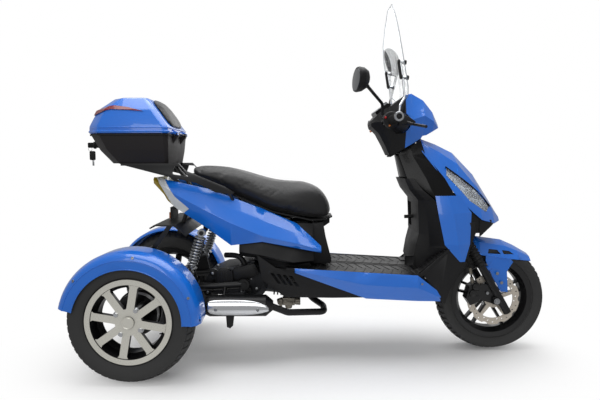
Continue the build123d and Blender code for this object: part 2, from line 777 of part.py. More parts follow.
def rear_axle():
    """Solid axle tube with its middle case, trailing arms, back plates and spindles."""
    whole = drum(0, REAR_TYRE_R, -AXLE_TUBE_HALF, AXLE_TUBE_HALF, AXLE_TUBE_R)
    case = round_about_y([(-78, 0), (-78, 48), (-40, 92), (40, 92), (78, 48), (78, 0)], 0, REAR_TYRE_R)
    whole = whole + case
    for side in (-1, 1):
        y = side * ARM_Y
        whole = whole + bent_rod([(0, y, REAR_TYRE_R), (150, y, REAR_TYRE_R + 70), (PIVOT[0], y, PIVOT[1])], 17, 60)
        low, high = sorted((side * (ARM_Y - 8), side * (SHOCK_Y + 16)))
        whole = whole + drum(SHOCK_LOW[0], SHOCK_LOW[1], low, high, 9)
        bracket = [
            (SHOCK_LOW[0] - 14, SHOCK_LOW[1] + 10),
            (SHOCK_LOW[0] + 14, SHOCK_LOW[1] + 10),
            (SHOCK_LOW[0] + 34, REAR_TYRE_R + 62),
            (SHOCK_LOW[0] - 50, REAR_TYRE_R + 62),
        ]
        whole = whole + side_prism(bracket, y - 5, y + 5)
        low, high = sorted((side * AXLE_TUBE_HALF, side * (AXLE_TUBE_HALF + BACKPLATE_T)))
        whole = whole + drum(0, REAR_TYRE_R, low, high, BACKPLATE_R)
        low, high = sorted((side * AXLE_TUBE_HALF, side * (TRACK / 2 + REAR_RIM_W / 2 - 30)))
        whole = whole + drum(0, REAR_TYRE_R, low, high, SPINDLE_R)
    whole = whole + drum(PIVOT[0], PIVOT[1], -ARM_Y - 20, ARM_Y + 20, 12)
    for y in (-ARM_Y, ARM_Y):
        whole = whole + drum(PIVOT[0], PIVOT[1], y - 14, y + 14, 24)
    return whole


def rear_dampers():
    """Damper bodies and rods inside the springs."""
    made = []
    for side in (-1, 1):
        y = side * SHOCK_Y
        low, top = (SHOCK_LOW[0], y, SHOCK_LOW[1]), (SHOCK_TOP[0], y, SHOCK_TOP[1])
        axis = (Vector(*top) - Vector(*low)).normalized()
        at = [Vector(*low) + axis * d for d in (0, 26, 112)]
        end = Vector(*top) - axis * 24
        whole = rod(tuple(at[0]), tuple(at[2]), 12) + rod(tuple(at[2]), top, 6)
        whole = whole + rod(tuple(at[1]), tuple(at[1] + axis * 5), COIL_R + 4)
        whole = whole + rod(tuple(end), tuple(end + axis * 5), COIL_R + 4)
        for x, z in (SHOCK_LOW, SHOCK_TOP):
            whole = whole + drum(x, z, y - 13, y + 13, 17)
            whole = whole - drum(x, z, y - 60, y + 60, 9 + FIT)
        made.append(whole)
    return made


def rear_springs():
    """Coil springs between the dampers' seats."""
    made = []
    for side in (-1, 1):
        y = side * SHOCK_Y
        low, top = Vector(SHOCK_LOW[0], y, SHOCK_LOW[1]), Vector(SHOCK_TOP[0], y, SHOCK_TOP[1])
        axis = (top - low).normalized()
        start = low + axis * (31 + COIL_WIRE)
        length = (top - low).length - 31 - 24 - 2 * COIL_WIRE
        path = Helix(pitch=length / COIL_TURNS, height=length, radius=COIL_R - COIL_WIRE + 2.5)
        wire = Plane(origin=path @ 0, z_dir=path % 0) * RegularPolygon(COIL_WIRE, 8)
        coil = sweep(wire, path=path, is_frenet=True)
        made.append(coil.moved(Plane(origin=start, x_dir=(0, 1, 0), z_dir=axis).location))
    return made


def engine():
    """Engine as a plain casting: crankcase, side case, cylinder with fins, and head."""
    case = round_about_y([(-112, 0), (-112, 60), (-92, 84), (92, 84), (112, 60), (112, 0)], 440, 336)
    gears = side_prism([(236, 326), (262, 372), (330, 402), (430, 410), (470, 330), (400, 276), (282, 284)], -116, 70)
    cover = side_prism([(262, 330), (290, 366), (350, 386), (420, 388), (440, 330), (392, 296), (290, 300)], -128, -116)
    cylinder = rod((500, 0, 330), (690, 0, 312), 62)
    head = rod((640, 0, 317), (700, 0, 311), 70)
    body = case + gears + cover + cylinder + head
    for n in range(6):
        x = 548 + n * 16
        z = 325.5 - n * 1.5
        body = body + rod((x, 0, z), (x + 6, 0, z - 0.6), 74)
    mount = side_prism([(440, 410), (500, 390), (572, 496), (556, 512), (540, 508)], -30, 30)
    return body + mount


def exhaust():
    """Header pipe from the head round to the silencer on the right, with its hanger."""
    header = bent_rod(
        [
            (672, 0, 290),
            (720, 0, 232),
            (768, -50, 212),
            (768, -140, 210),
            (610, MUFFLER_Y + 8, 224),
            (530, MUFFLER_Y, MUFFLER_Z),
        ],
        14,
        38,
    )
    table = (
        # distance along x, radius
        (MUFFLER_REAR_X, 0),
        (MUFFLER_REAR_X, 24),
        (MUFFLER_REAR_X + 8, MUFFLER_R - 8),
        (MUFFLER_REAR_X + 26, MUFFLER_R),
        (MUFFLER_REAR_X + 262, MUFFLER_R),
        (MUFFLER_REAR_X + 292, 20),
        (MUFFLER_REAR_X + 292, 0),
    )
    outline = [(x, MUFFLER_Y, MUFFLER_Z + r) for x, r in table]
    silencer = revolve(face_of(outline), Axis((0, MUFFLER_Y, MUFFLER_Z), (1, 0, 0)), 360)
    tab = side_prism([(348, 222), (384, 222), (378, 172), (366, 160), (352, 166)], MUFFLER_Y - 5, MUFFLER_Y + 5)
    lug = rod((340, MUFFLER_Y, MUFFLER_Z + 34), (340, -ARM_Y, 331), 8)
    return header + silencer + tab + lug


def muffler_shield():
    """Plated heat shield on the silencer's outer side."""
    start, end = MUFFLER_REAR_X + 28, MUFFLER_REAR_X + 260
    ring = rod((start, MUFFLER_Y, MUFFLER_Z), (end, MUFFLER_Y, MUFFLER_Z), MUFFLER_R + 5)
    ring = ring - rod((start - 9, MUFFLER_Y, MUFFLER_Z), (end + 9, MUFFLER_Y, MUFFLER_Z), MUFFLER_R)
    window = side_prism(
        [
            (start, MUFFLER_Z - 20),
            (start + 14, MUFFLER_Z - 32),
            (end - 46, MUFFLER_Z - 28),
            (end, MUFFLER_Z - 8),
            (end, MUFFLER_Z + 12),
            (end - 40, MUFFLER_Z + 30),
            (start + 14, MUFFLER_Z + 30),
            (start, MUFFLER_Z + 20),
        ],
        MUFFLER_Y - 70,
        MUFFLER_Y - 20,
    )
    return ring & window


def fender_profile():
    """Corners of (y, radius) of a rear mudguard: outer skirt, shoulder, crown and inner lip."""
    return [
        (FENDER_OUT_Y, FENDER_SKIRT_R),
        (FENDER_OUT_Y, FENDER_CREASE_R),
        (FENDER_OUT_Y - 12, FENDER_CROWN_R - 12),
        (FENDER_OUT_Y - 44, FENDER_CROWN_R),
        (FENDER_IN_Y + 12, FENDER_CROWN_R - 2),
        (FENDER_IN_Y, FENDER_CROWN_R - 14),
    ]


def rear_fenders():
    """Arched mudguards round the rear wheels."""
    made = []
    for side in (-1, 1):
        profile = [(side * y, r) for y, r in skin(fender_profile(), -FENDER_WALL)]
        arch = round_about_y(profile, 0, REAR_TYRE_R, FENDER_REAR_ANGLE - FENDER_FRONT_ANGLE)
        made.append(arch.rotate(Axis((0, 0, REAR_TYRE_R), (0, 1, 0)), 90 - FENDER_REAR_ANGLE))
    return made


def fender_stays():
    """Black bridge between the mudguards with a flat strap down to each."""
    x, z = BRIDGE_X, BRIDGE_Z
    outline = [(x - 60, z - 8), (x - 40, z + 4), (x + 44, z + 2), (x + 92, z - 38)]
    under = [(x + 88, z - 43), (x + 41, z - 3), (x - 39, z - 1), (x - 57, z - 13)]
    whole = side_prism(outline + under, -242, 242)
    for side in (-1, 1):
        y = side * 240
        strap = [(x + 36, z + 1), (x + 14, z + 1), (x - 58, z - 96), (x - 40, z - 104)]
        whole = whole + side_prism(strap, y - 3, y + 3)
        crown = FENDER_CROWN_R - 8
        foot_x = x - 48
        foot_z = REAR_TYRE_R + sqrt(crown**2 - foot_x**2)
        whole = whole + rod((foot_x, y, foot_z), (foot_x, side * (FENDER_IN_Y + 8), foot_z), 7)
    return whole


def side_rows():
    """Outlines of the right side panel from top to bottom, at each x."""
    table = (
        # x, top y, top z, upper y, upper z, crease y, crease z, low y, low z
        (30, 92, 794, 96, 792, 104, 786, 98, 772),
        (137, 112, 774, 126, 756, 148, 722, 138, 664),
        (274, 122, 744, 146, 706, 170, 652, 158, 578),
        (370, 126, 708, 156, 664, 188, 606, 172, 510),
        (504, 128, 658, 164, 612, 200, 552, 186, 528),
        (650, 132, 594, 172, 556, 200, 520, 192, 500),
        (752, 170, 502, 180, 496, 192, 490, 190, 480),
    )
    rows = []
    for x, *rest in table:
        rows.append((x, [(rest[i], rest[i + 1]) for i in range(0, 8, 2)]))
    return rows


def lamp_wedge(grow=0):
    """Crosswise cutter with the tail lamp's outline."""
    outline = [
        (0, 820),
        (72 + grow, 796),
        (99 + grow, 756),
        (128 + grow, 716),
        (191 + grow, 664 - grow),
        (130, 620),
        (10, 720),
    ]
    return side_prism(outline, -250, 250)


def side_panels():
    """Sculpted painted panels below the seat, from the tail to the floor."""
    shell = loft_x(side_rows(), -PANEL) - lamp_wedge(SEAM)
    return [shell, mirrored(shell)]


def tail_lamp():
    """Clear lamp across the tail, wrapping round onto both sides."""
    shell = loft_x(side_rows(), -PANEL) & lamp_wedge()
    strip = side_prism([(30, 796), (92, 697), (141, 657), (158, 664), (106, 706), (46, 796)], -250, 250)
    width = top_prism([(20, -93), (150, -140), (150, 140), (20, 93)], 600, 850)
    return (strip & width) + shell + mirrored(shell)


def seat_base():
    """Black box under the seat: front panel, flanks and the hinge ears."""
    rows = [
        (404, [(150, 462), (176, 484), (150, 560)]),
        (502, [(150, 452), (184, 470), (150, 586)]),
        (633, [(140, 416), (190, 440), (128, 596)]),
        (720, [(118, 420), (180, 446), (118, 594)]),
    ]
    flank = loft_x(rows, PANEL)
    front = side_prism([(716, 594), (764, 598), (774, 540), (800, 437), (796, 420), (716, 420)], -121, 121)
    hollow = side_prism([(704, 590), (758, 592), (768, 540), (792, 440), (788, 426), (704, 426)], -113, 113)
    hx, hz = SEAT_HINGE
    whole = front - hollow + flank + mirrored(flank)
    whole = whole + drum(hx, hz, -36, 36, 4)
    for side in (-1, 1):
        low, high = sorted((side * 28, side * 36))
        ear = [(756, 560), (hx + 7, hz - 6), (hx + 7, hz + 6), (hx - 7, hz + 6), (758, 592)]
        whole = whole + side_prism(ear, low, high)
    return whole


def storage_bin():
    """Open-topped storage bin under the seat."""
    outer = solid_z([
        (BIN_FLOOR_Z, [(450, -72), (690, -72), (690, 72), (450, 72)]),
        (BIN_TOP_Z, [(420, -79), (700, -79), (700, 79), (420, 79)]),
    ])
    inner = solid_z([
        (BIN_FLOOR_Z + 4, [(454, -68), (686, -68), (686, 68), (454, 68)]),
        (BIN_TOP_Z, [(424, -72), (696, -72), (696, 72), (424, 72)]),
    ])
    return outer - inner


def deck_z(x):
    """Height of the foot board's top, which falls gently towards the front."""
    return DECK_REAR[1] + (x - DECK_REAR[0]) * (DECK_FRONT_Z - DECK_REAR[1]) / (WHEELBASE - 374 - DECK_REAR[0])


def floorboard():
    """Foot board with raised edges, toe boards and its carriers."""
    x0, x1 = DECK_REAR[0], WHEELBASE - 366
    outline = [(x0, deck_z(x0)), (x1, deck_z(x1)), (x1, deck_z(x1) - 7), (x0, deck_z(x0) - 7)]
    whole = side_prism(outline, -FLOOR_HALF, FLOOR_HALF)
    toe = [(-378, 0), (-360, 0), (-246, 106), (-250, 110), (-364, 5), (-378, 5)]
    for side in (-1, 1):
        low, high = sorted((side * (FLOOR_HALF - 8), side * FLOOR_HALF))
        lip = [(x0, deck_z(x0) + 3), (x1, deck_z(x1) + 3), (x1, deck_z(x1) - 3), (x0, deck_z(x0) - 3)]
        whole = whole + side_prism(lip, low, high)
        low, high = sorted((side * 122, side * (FLOOR_HALF - 10)))
        base_z = deck_z(WHEELBASE - 370) - 5
        whole = whole + side_prism([(WHEELBASE + x, base_z + z) for x, z in toe], low, high)
    for part in (0, 0.45, 0.9):
        x = 744 + part * (WHEELBASE - 394 - 744)
        top = deck_z(x) - 4
        foot = FLOOR_RAIL_Z + RAIL_R - 3
        carrier = [(x - 9, top), (x + 9, top), (x + 9, foot), (x - 9, foot)]
        whole = whole + side_prism(carrier, -RAIL_Y - 8, RAIL_Y + 8)
    return whole


def skirts():
    """Painted skirts along the floor's edges."""
    f = WHEELBASE
    h = FLOOR_HALF
    rows = [
        (640, [(h, 414), (h + 4, 408), (h - 2, 398)]),
        (f - 591, [(h, 396), (h + 9, 345), (h - 12, 283)]),
        (f - 376, [(h, 383), (h + 6, 332), (h - 18, 270)]),
        (f - 272, [(h - 22, 300), (h - 18, 284), (h - 26, 266)]),
    ]
    shell = loft_x(rows, -PANEL)
    return [shell, mirrored(shell)]


def belly_panels():
    """Black lower panels with slanted vents, ahead of the silencer."""
    outline = [(481, 470), (560, 414), (640, 404), (640, 398), (943, 285), (800, 284), (598, 288), (501, 363)]
    made = []
    for side in (-1, 1):
        low, high = sorted((side * (FLOOR_HALF - 16), side * (FLOOR_HALF - 20)))
        panel = side_prism(outline, low, high)
        for n in range(4):
            x = 536 + n * 26
            z = 392 - n * 4
            vent = [(x, z), (x + 14, z), (x + 46, z - 46), (x + 32, z - 46)]
            panel = panel - side_prism(vent, low - 5, high + 5)
        arm_low, arm_high = sorted((side * RAIL_Y, side * (FLOOR_HALF - 18)))
        panel = panel + drum(700, FLOOR_RAIL_Z, arm_low, arm_high, 8)
        made.append(panel)
    return made


def leg_shield():
    """Inner leg shield: a column with a pocket, and its side wings above the toe boards."""
    rows = [
        (378, [(-284, 116), (-334, 114), (-352, 108), (-356, 0)]),
        (430, [(-272, 122), (-324, 116), (-374, 108), (-379, 0)]),
        (492, [(-244, 190), (-308, 124), (-364, 108), (-369, 0)]),
        (549, [(-259, 190), (-312, 130), (-350, 108), (-355, 0)]),
        (694, [(-296, 164), (-330, 136), (-357, 108), (-361, 0)]),
        (740, [(-344, 138), (-374, 124), (-394, 106), (-399, 0)]),
        (788, [(-378, 114), (-398, 110), (-415, 100), (-421, 0)]),
    ]
    shell = loft_z([(z, both_sides(line)) for z, line in rows], -PANEL)
    mouth = side_prism([(-400, 566), (-330, 566), (-330, 676), (-400, 676)], 16, 96)
    shell = shell - mouth
    pocket = side_prism([(-364, 556), (-296, 556), (-310, 686), (-364, 686)], 12, 100)
    hollow = side_prism([(-392, 560), (-300, 560), (-313, 682), (-392, 682)], 16, 96)
    inside = side_prism([(-353, 540), (-284, 540), (-284, 700), (-353, 700)], 0, 110)
    return shell + ((pocket - hollow) & inside)


def knee_panels():
    """Black panels between the skirts, the wings and the front wheel."""
    outline = [(-374, 386), (-345, 377), (-264, 262), (-254, 256), (-236, 311), (-170, 428), (-189, 440), (-244, 494)]
    made = []
    for side in (-1, 1):
        low, high = sorted((side * (FLOOR_HALF - 19), side * (FLOOR_HALF - 15)))
        made.append(side_prism(outline, low, high))
    return made


def neck_cover():
    """Glossy collar round the steering column, between the leg shield and the bars."""
    rows = [
        (690, [(-191, 148), (-284, 150), (-340, 112), (-350, 0)]),
        (789, [(-244, 118), (-324, 114), (-402, 94), (-412, 0)]),
        (890, [(-319, 76), (-376, 70), (-432, 54), (-438, 0)]),
        (960, [(-338, 56), (-384, 50), (-452, 34), (-456, 0)]),
    ]
    shell = loft_z([(z, both_sides(line)) for z, line in rows], -PANEL)
    above = extrude(steer_plane(NECK_TOP_S) * Rectangle(600, 600), amount=300)
    return shell - above


def front_cowl():
    """Painted V-shaped front shield, with openings for the lamps."""
    shell = loft_x(cowl_rows(), -PANEL)
    for side in (-1, 1):
        shell = shell - lamp_prism(side, SEAM)
    above = extrude(steer_plane(NECK_TOP_S) * Rectangle(700, 700), amount=300)
    return shell - above


def cowl_rows():
    """Outlines of the front shield, edge to edge over its ridge, at each x."""
    table = (
        # x, edge y, edge z, shoulder y, shoulder z, ridge z
        (-334, 74, 905, 40, 948, 966),
        (-259, 112, 800, 62, 905, 938),
        (-180, 148, 690, 82, 850, 899),
        (-85, 140, 610, 84, 740, 801),
        (-14, 96, 590, 62, 650, 690),
        (27, 40, 596, 26, 612, 623),
    )
    rows = []
    for x, edge_y, edge_z, shoulder_y, shoulder_z, ridge_z in table:
        rows.append((x, over_ridge([(edge_y, edge_z), (shoulder_y, shoulder_z), (0, ridge_z)])))
    return rows


def lamp_prism(side, grow):
    """Crosswise cutter with a headlamp's outline."""
    outline = [
        (-230, 837 + grow),
        (-114 + grow, 745),
        (-33 + grow, 662),
        (-56, 640 - grow),
        (-134 - grow, 690),
        (-234 - grow, 800),
    ]
    return side_prism(outline, *sorted((side * 30, side * 200)))


def headlamps():
    """Clear lamp covers flush in the front shield."""
    shell = loft_x(cowl_rows(), -PANEL)
    return [shell & lamp_prism(side, 0) for side in (-1, 1)]


def cowl_wings():
    """Painted side wings below the front shield."""
    rows = [
        (437, [(-194, 188), (-186, 189), (-173, 184)]),
        (510, [(-260, 192), (-204, 200), (-149, 172)]),
        (642, [(-286, 178), (-224, 184), (-137, 148)]),
        (716, [(-296, 162), (-244, 166), (-191, 150)]),
    ]
    shell = loft_z(rows, -PANEL)
    return [shell, mirrored(shell)]


def nose_lower():
    """Black underside of the front shield, behind the mudguard."""
    rows = [
        (-94, [(134, 534), (130, 604), (76, 598), (0, 588)]),
        (-34, [(112, 580), (104, 602), (60, 598), (0, 592)]),
        (19, [(40, 600), (30, 601), (20, 600), (0, 598)]),
    ]
    return loft_x([(x, over_ridge(line)) for x, line in rows], PANEL)


def luggage_rack():
    """Rack plate under the case with a flat grab arm on each side."""
    arm = [
        (-100, RACK_Z + RACK_DROP),
        (-80, RACK_Z + 8),
        (103, RACK_Z - 40),
        (224, RACK_Z - 67),
        (306, RACK_Z - 108),
        (376, RACK_Z - 116),
        (384, RACK_Z - 109),
        (341, RACK_Z - 82),
        (178, RACK_Z - 15),
        (150, RACK_Z + RACK_DROP),
    ]
    outline = [(-108, -112), (20, -132), (40, -146), (96, -146), (96, 146), (40, 146), (20, 132), (-108, 112)]
    plate = top_prism(outline, RACK_Z + 6, CASE_FLOOR_Z)
    whole = plate
    for side in (-1, 1):
        low, high = sorted((side * 142, side * 156))
        whole = whole + side_prism(arm, low, high) - side_prism(
            [(120, RACK_Z - 30), (132, RACK_Z + 4), (160, RACK_Z + 2), (172, RACK_Z - 18), (190, RACK_Z - 40)],
            low - 1,
            high + 1,
        )
        leg = [
            (RAIL_END_X + 6, side * RAIL_Y, RAIL_END_Z),
            (130, side * 104, 780),
            (70, side * 116, RACK_Z + 8),
        ]
        whole = whole + bent_rod(leg, 10, 30)
        whole = whole + rod((366, side * 149, RACK_Z - 112), (392, side * RAIL_Y, SEAT_RAIL_Z), 8)
    return whole


def case_rows(inset=0):
    """Closed outlines of (x, y) of the case, with clipped corners, at each height."""
    table = (
        # z, rear x, front x, half width, corner
        (CASE_FLOOR_Z, -138, 104, 152, 40),
        (CASE_FLOOR_Z + CASE_DEPTH * 0.45, -186, 110, 176, 46),
        (CASE_SEAM_Z, -222, 114, 194, 52),
    )
    rows = []
    for z, rear, front, half, c in table:
        rows.append((z, corner_outline(rear + inset, front - inset, half - inset, c)))
    return rows


def corner_outline(a, b, h, c):
    """An oblong of (x, y) with clipped corners, the rear ones larger."""
    f = c / 3
    return [(a + c, -h), (b - f, -h), (b, -h + f), (b, h - f), (b - f, h), (a + c, h), (a, h - c), (a, -h + c)]


def topcase_base():
    """Lower shell of the top case with its hinge ears and pin."""
    outer = solid_z(case_rows())
    inner_rows = case_rows(CASE_WALL)
    inner_rows[0] = (CASE_FLOOR_Z + CASE_WALL, inner_rows[0][1])
    inner_rows[-1] = (CASE_SEAM_Z + 0.01, inner_rows[-1][1])
    shell = outer - solid_z(inner_rows)
    hx, hz = LID_HINGE_X, CASE_SEAM_Z + 2
    for side in (-1, 1):
        low, high = sorted((side * 60, side * 84))
        ear = [(106, hz - 48), (hx - 5, hz - 22), (hx + 6, hz - 6), (hx + 5, hz + 6), (hx - 6, hz + 6)]
        ear = ear + [(hx - 13, hz - 5), (110, hz - 6)]
        shell = shell + side_prism(ear, low, high)
    pin = drum(hx, hz, -100, 100, 3)
    return shell + pin


def topcase_lock():
    """Key barrel at the case's rear."""
    return rod((-196, 0, LOCK_Z), (LOCK_X, 0, LOCK_Z), 12)


LID_ROWS = (
    # z, rear x, front x, half width, corner
    (CASE_SEAM_Z + SEAM, -226, 118, 197, 54),
    (CASE_SEAM_Z + 30, -228, 112, 194, 56),
    (CASE_SEAM_Z + 100, -196, 60, 172, 52),
    (LID_TOP_Z - 4, -134, 20, 128, 44),
    (LID_TOP_Z, -110, 4, 104, 40),
)


def lid_form(grow, crown=0):
    """The lid's solid form, grown all round."""
    rows = []
    for i, (z, a, b, h, c) in enumerate(LID_ROWS):
        rows.append((z + crown * (i > 2), corner_outline(a - grow, b + grow, h + grow, c)))
    return solid_z(rows)


def topcase_lid():
    """Domed lid of the case with its hinge knuckles."""
    shell = lid_form(0) - lid_form(-CASE_WALL, -CASE_WALL)
    hx, hz = LID_HINGE_X, CASE_SEAM_Z + 2
    for side in (-1, 1):
        low, high = sorted((side * 86, side * 98))
        knuckle = side_prism([(112, hz + 2), (hx + 6, hz - 6), (hx + 6, hz + 6), (112, hz + 20)], low, high)
        shell = shell + (knuckle - drum(hx, hz, low, high, 3 + FIT))
    return shell


def backrest_pad():
    """Padded backrest on the lid's front slope."""
    z = CASE_SEAM_Z
    outline = [(104, z + 26), (128, z + 36), (44, z + 148), (30, z + 153), (12, z + 153), (10, z + 140), (60, z + 92)]
    return side_prism(outline, -118, 118)


def topcase_lens():
    """Red lens round the lid's rear and sides."""
    z = CASE_SEAM_Z
    upper = [(-240, z + 88), (-163, z + 107), (-114, z + 118), (-53, z + 110), (13, z + 92)]
    lower = [(-53, z + 98), (-122, z + 101), (-177, z + 86), (-240, z + 70)]
    band = side_prism(upper + lower, -240, 240)
    return (lid_form(3) - lid_form(0)) & band


def seat_cushion():
    """Two-level saddle cushion."""
    rows = []
    for x, low, high, half in SEAT_ROWS:
        w = half
        rows.append((x, [(-w + 8, low), (w - 8, low), (w, low + 18), (w * 0.8, high - 8), (w * 0.45, high), (-w * 0.45, high), (-w * 0.8, high - 8), (-w, low + 18)]))
    return solid_x(rows)


def seat_pan():
    """Plastic pan below the cushion, with its hinge tongue."""
    rows = []
    for x, low, high, half in SEAT_ROWS:
        rows.append((x, [(-half + 14, low - 6), (half - 14, low - 6), (half - 14, low), (-half + 14, low)]))
    pan = solid_x(rows)
    hx, hz = SEAT_HINGE
    knuckle = side_prism([(hx - 8, hz - 8), (hx + 8, hz - 8), (hx + 8, 611), (hx - 8, 611)], -26, 26)
    return pan + knuckle - drum(hx, hz, -60, 60, 4 + FIT)


def plate_bracket():
    """Number plate carrier under the tail."""
    x = PLATE_X
    outline = [(190, 674), (172, 654), (x + 6, 654), (x + 6, BRIDGE_Z + 4), (x - 2, BRIDGE_Z + 4), (x - 2, 662)]
    arm = side_prism(outline + [(160, 662), (180, 676)], -60, 60)
    for side in (-1, 1):
        y = side * PLATE_HOLE_Y
        arm = arm - rod((x - 12, y, PLATE_HOLE_Z), (x + 16, y, PLATE_HOLE_Z), PLATE_HOLE_R)
    return arm


def rear_reflector():
    """Amber reflector on the plate carrier."""
    outline = [(-40, PLATE_HOLE_Z - 13), (40, PLATE_HOLE_Z - 13), (40, PLATE_HOLE_Z + 13), (-40, PLATE_HOLE_Z + 13)]
    return front_prism(outline, PLATE_X - 12, PLATE_X - 2)


def body():
    """Everything that stays with the frame, the seat and the case lid."""
    keep("frame", frame())
    keep("rear_axle", rear_axle())
    keep("rear_dampers", rear_dampers())
    keep("rear_springs", rear_springs())
    keep("engine", engine())
    keep("exhaust", exhaust())
    keep("muffler_shield", muffler_shield())
    keep("rear_fenders", rear_fenders())
    keep("fender_stays", fender_stays())
    keep("side_panels", side_panels())
    keep("tail_lamp", tail_lamp())
    keep("seat_base", seat_base())
    keep("storage_bin", storage_bin())
    keep("floorboard", floorboard())
    keep("skirts", skirts())
    keep("belly_panels", belly_panels())
    keep_front("leg_shield", leg_shield())
    keep_front("knee_panels", knee_panels())
    keep_front("neck_cover", neck_cover())
    keep_front("front_cowl", front_cowl())
    keep_front("cowl_wings", cowl_wings())
    keep_front("headlamps", headlamps())
    keep_front("nose_lower", nose_lower())
    keep("luggage_rack", luggage_rack())
    keep("topcase_base", topcase_base())
    keep("topcase_lock", topcase_lock())
    keep("topcase_lid", topcase_lid())
    keep("topcase_lens", topcase_lens())
    keep("backrest_pad", backrest_pad())
    keep("seat_cushion", seat_cushion())
    keep("seat_pan", seat_pan())
    keep("plate_bracket", plate_bracket())
    keep("rear_reflector", rear_reflector())




def seat_together():
    """Cuts each piece where its neighbour on the same body passes through it."""
    pairs = (
        # piece that is cut, piece that cuts it
        ("handlebar", "fork"),
        ("bar_cowl_front", "fork"),
        ("bar_cowl_rear", "fork"),
        ("bar_cowl_rear", "handlebar"),
        ("brake_levers", "handlebar"),
        ("windscreen", "windscreen_rods"),
        ("bar_cowl_front", "windscreen"),
        ("bar_cowl_rear", "windscreen"),
        ("windscreen_rods", "brake_levers"),
        ("mirrors", "brake_levers"),
        ("mirrors", "handlebar"),
        ("brake_caliper", "fork"),
        ("front_fender", "fork"),
        ("instrument", "bar_cowl_rear"),
        ("backrest_pad", "topcase_lid"),
        ("frame", "leg_shield"),
        ("frame", "front_cowl"),
        ("engine", "rear_axle"),
        ("engine", "frame"),
        ("seat_base", "frame"),
        ("exhaust", "engine"),
        ("exhaust", "rear_axle"),
        ("fender_stays", "frame"),
        ("plate_bracket", "fender_stays"),
        ("knee_panels", "skirts"),
        ("fender_stays", "rear_fenders"),
        ("floorboard", "frame"),
        ("floorboard", "seat_base"),
        ("belly_panels", "floorboard"),
        ("belly_panels", "frame"),
        ("skirts", "floorboard"),
        ("luggage_rack", "frame"),
        ("luggage_rack", "side_panels"),
        ("fender_stays", "luggage_rack"),
        ("tail_lamp", "luggage_rack"),
        ("tail_lamp", "frame"),
        ("plate_bracket", "frame"),
        ("rear_reflector", "plate_bracket"),
        ("neck_cover", "front_cowl"),
        ("cowl_wings", "front_cowl"),
        ("neck_cover", "cowl_wings"),
        ("leg_shield", "cowl_wings"),
        ("knee_panels", "cowl_wings"),
        ("knee_panels", "floorboard"),
        ("leg_shield", "floorboard"),
        ("mirrors", "bar_cowl_rear"),
        ("fender_stays", "rear_dampers"),
        ("plate_bracket", "tail_lamp"),
        ("luggage_rack", "tail_lamp"),
        ("luggage_rack", "topcase_base"),
        ("neck_cover", "leg_shield"),
        ("nose_lower", "front_cowl"),
        ("knee_panels", "leg_shield"),
        ("seat_base", "side_panels"),
        ("topcase_lock", "topcase_base"),
        ("storage_bin", "frame"),
    )
    for name, cutter in pairs:
        kept = []
        for solid in nodes[name]:
            rest = solid
            for tool in nodes[cutter]:
                rest = rest - tool
            kept += [piece for piece in rest.solids() if piece.volume > 120]
        nodes[name] = kept


def export_all():
    """Moves each node to the shared origin and writes it."""
    os.makedirs("parts", exist_ok=True)
    shift = Location((-ORIGIN_X, 0, 0))
    for name, solids in nodes.items():
        moved = [s.moved(shift) for s in solids]
        whole = moved[0] if len(moved) == 1 else Compound(children=moved)
        export_step(whole, f"parts/{name}.step")


wheels()
steering()
body()
seat_together()
export_all()
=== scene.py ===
"""Looks of a three-wheeled motor scooter with a top case and a small windscreen.

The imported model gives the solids, in metres: X forward, Y to the rider's left, Z up. This
file dresses them and adds what the photograph shows beyond them: treads, padded saddle, lamp
insides, switches, bolts, engine parts and the like.
"""

import json
import logging
import math
from dataclasses import dataclass
from enum import Enum
from typing import Callable, Iterable, Optional, Sequence

import bmesh
import bpy
from mathutils import Matrix, Vector


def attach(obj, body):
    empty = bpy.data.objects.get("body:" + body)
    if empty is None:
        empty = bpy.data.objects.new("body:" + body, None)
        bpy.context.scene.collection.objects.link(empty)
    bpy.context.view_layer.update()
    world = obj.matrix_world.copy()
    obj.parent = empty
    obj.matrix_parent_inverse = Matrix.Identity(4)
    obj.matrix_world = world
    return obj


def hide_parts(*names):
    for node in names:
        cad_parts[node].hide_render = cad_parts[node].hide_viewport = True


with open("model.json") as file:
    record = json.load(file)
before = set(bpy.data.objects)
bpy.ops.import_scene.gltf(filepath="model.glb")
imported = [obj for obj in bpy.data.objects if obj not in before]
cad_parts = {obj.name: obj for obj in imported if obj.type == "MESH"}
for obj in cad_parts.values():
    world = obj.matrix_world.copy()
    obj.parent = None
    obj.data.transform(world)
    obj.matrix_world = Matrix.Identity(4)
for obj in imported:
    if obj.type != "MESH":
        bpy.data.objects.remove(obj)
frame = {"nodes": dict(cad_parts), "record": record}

logging.basicConfig(level=logging.INFO, format="%(levelname)s %(message)s")
log = logging.getLogger("trike")

Point = tuple[float, float, float]
Pair = tuple[float, float]
# One fastener: place, way it stands out, radius, height, and whether its head is a hexagon.
BoltRow = tuple[Point, Point, float, float, bool]

# Places of the axles along X, in metres.
WHEELBASE = 1.534
AXLE_X = -0.7465
FRONT_AXLE_X = AXLE_X + WHEELBASE
# Heights of the hubs, in millimetres.
REAR_HUB_Z = 250.0
FRONT_HUB_Z = 243.0


def rear_mm(x: float, y: float, z: float) -> Point:
    """A point given in millimetres from the rear axle, in metres in the model's frame."""
    return (AXLE_X + x / 1000, y / 1000, z / 1000)


def front_mm(x: float, y: float, z: float) -> Point:
    """A point given in millimetres from the front axle, in metres in the model's frame."""
    return (FRONT_AXLE_X + x / 1000, y / 1000, z / 1000)


def rear_xz(x: float, z: float) -> Pair:
    """A point of a side outline, in millimetres from the rear axle, in metres."""
    return (AXLE_X + x / 1000, z / 1000)


def front_xz(x: float, z: float) -> Pair:
    """A point of a side outline, in millimetres from the front axle, in metres."""
    return (FRONT_AXLE_X + x / 1000, z / 1000)


class Side(Enum):
    """The rider's right and left, as the sign of Y."""

    RIGHT = -1
    LEFT = 1


# Finishes


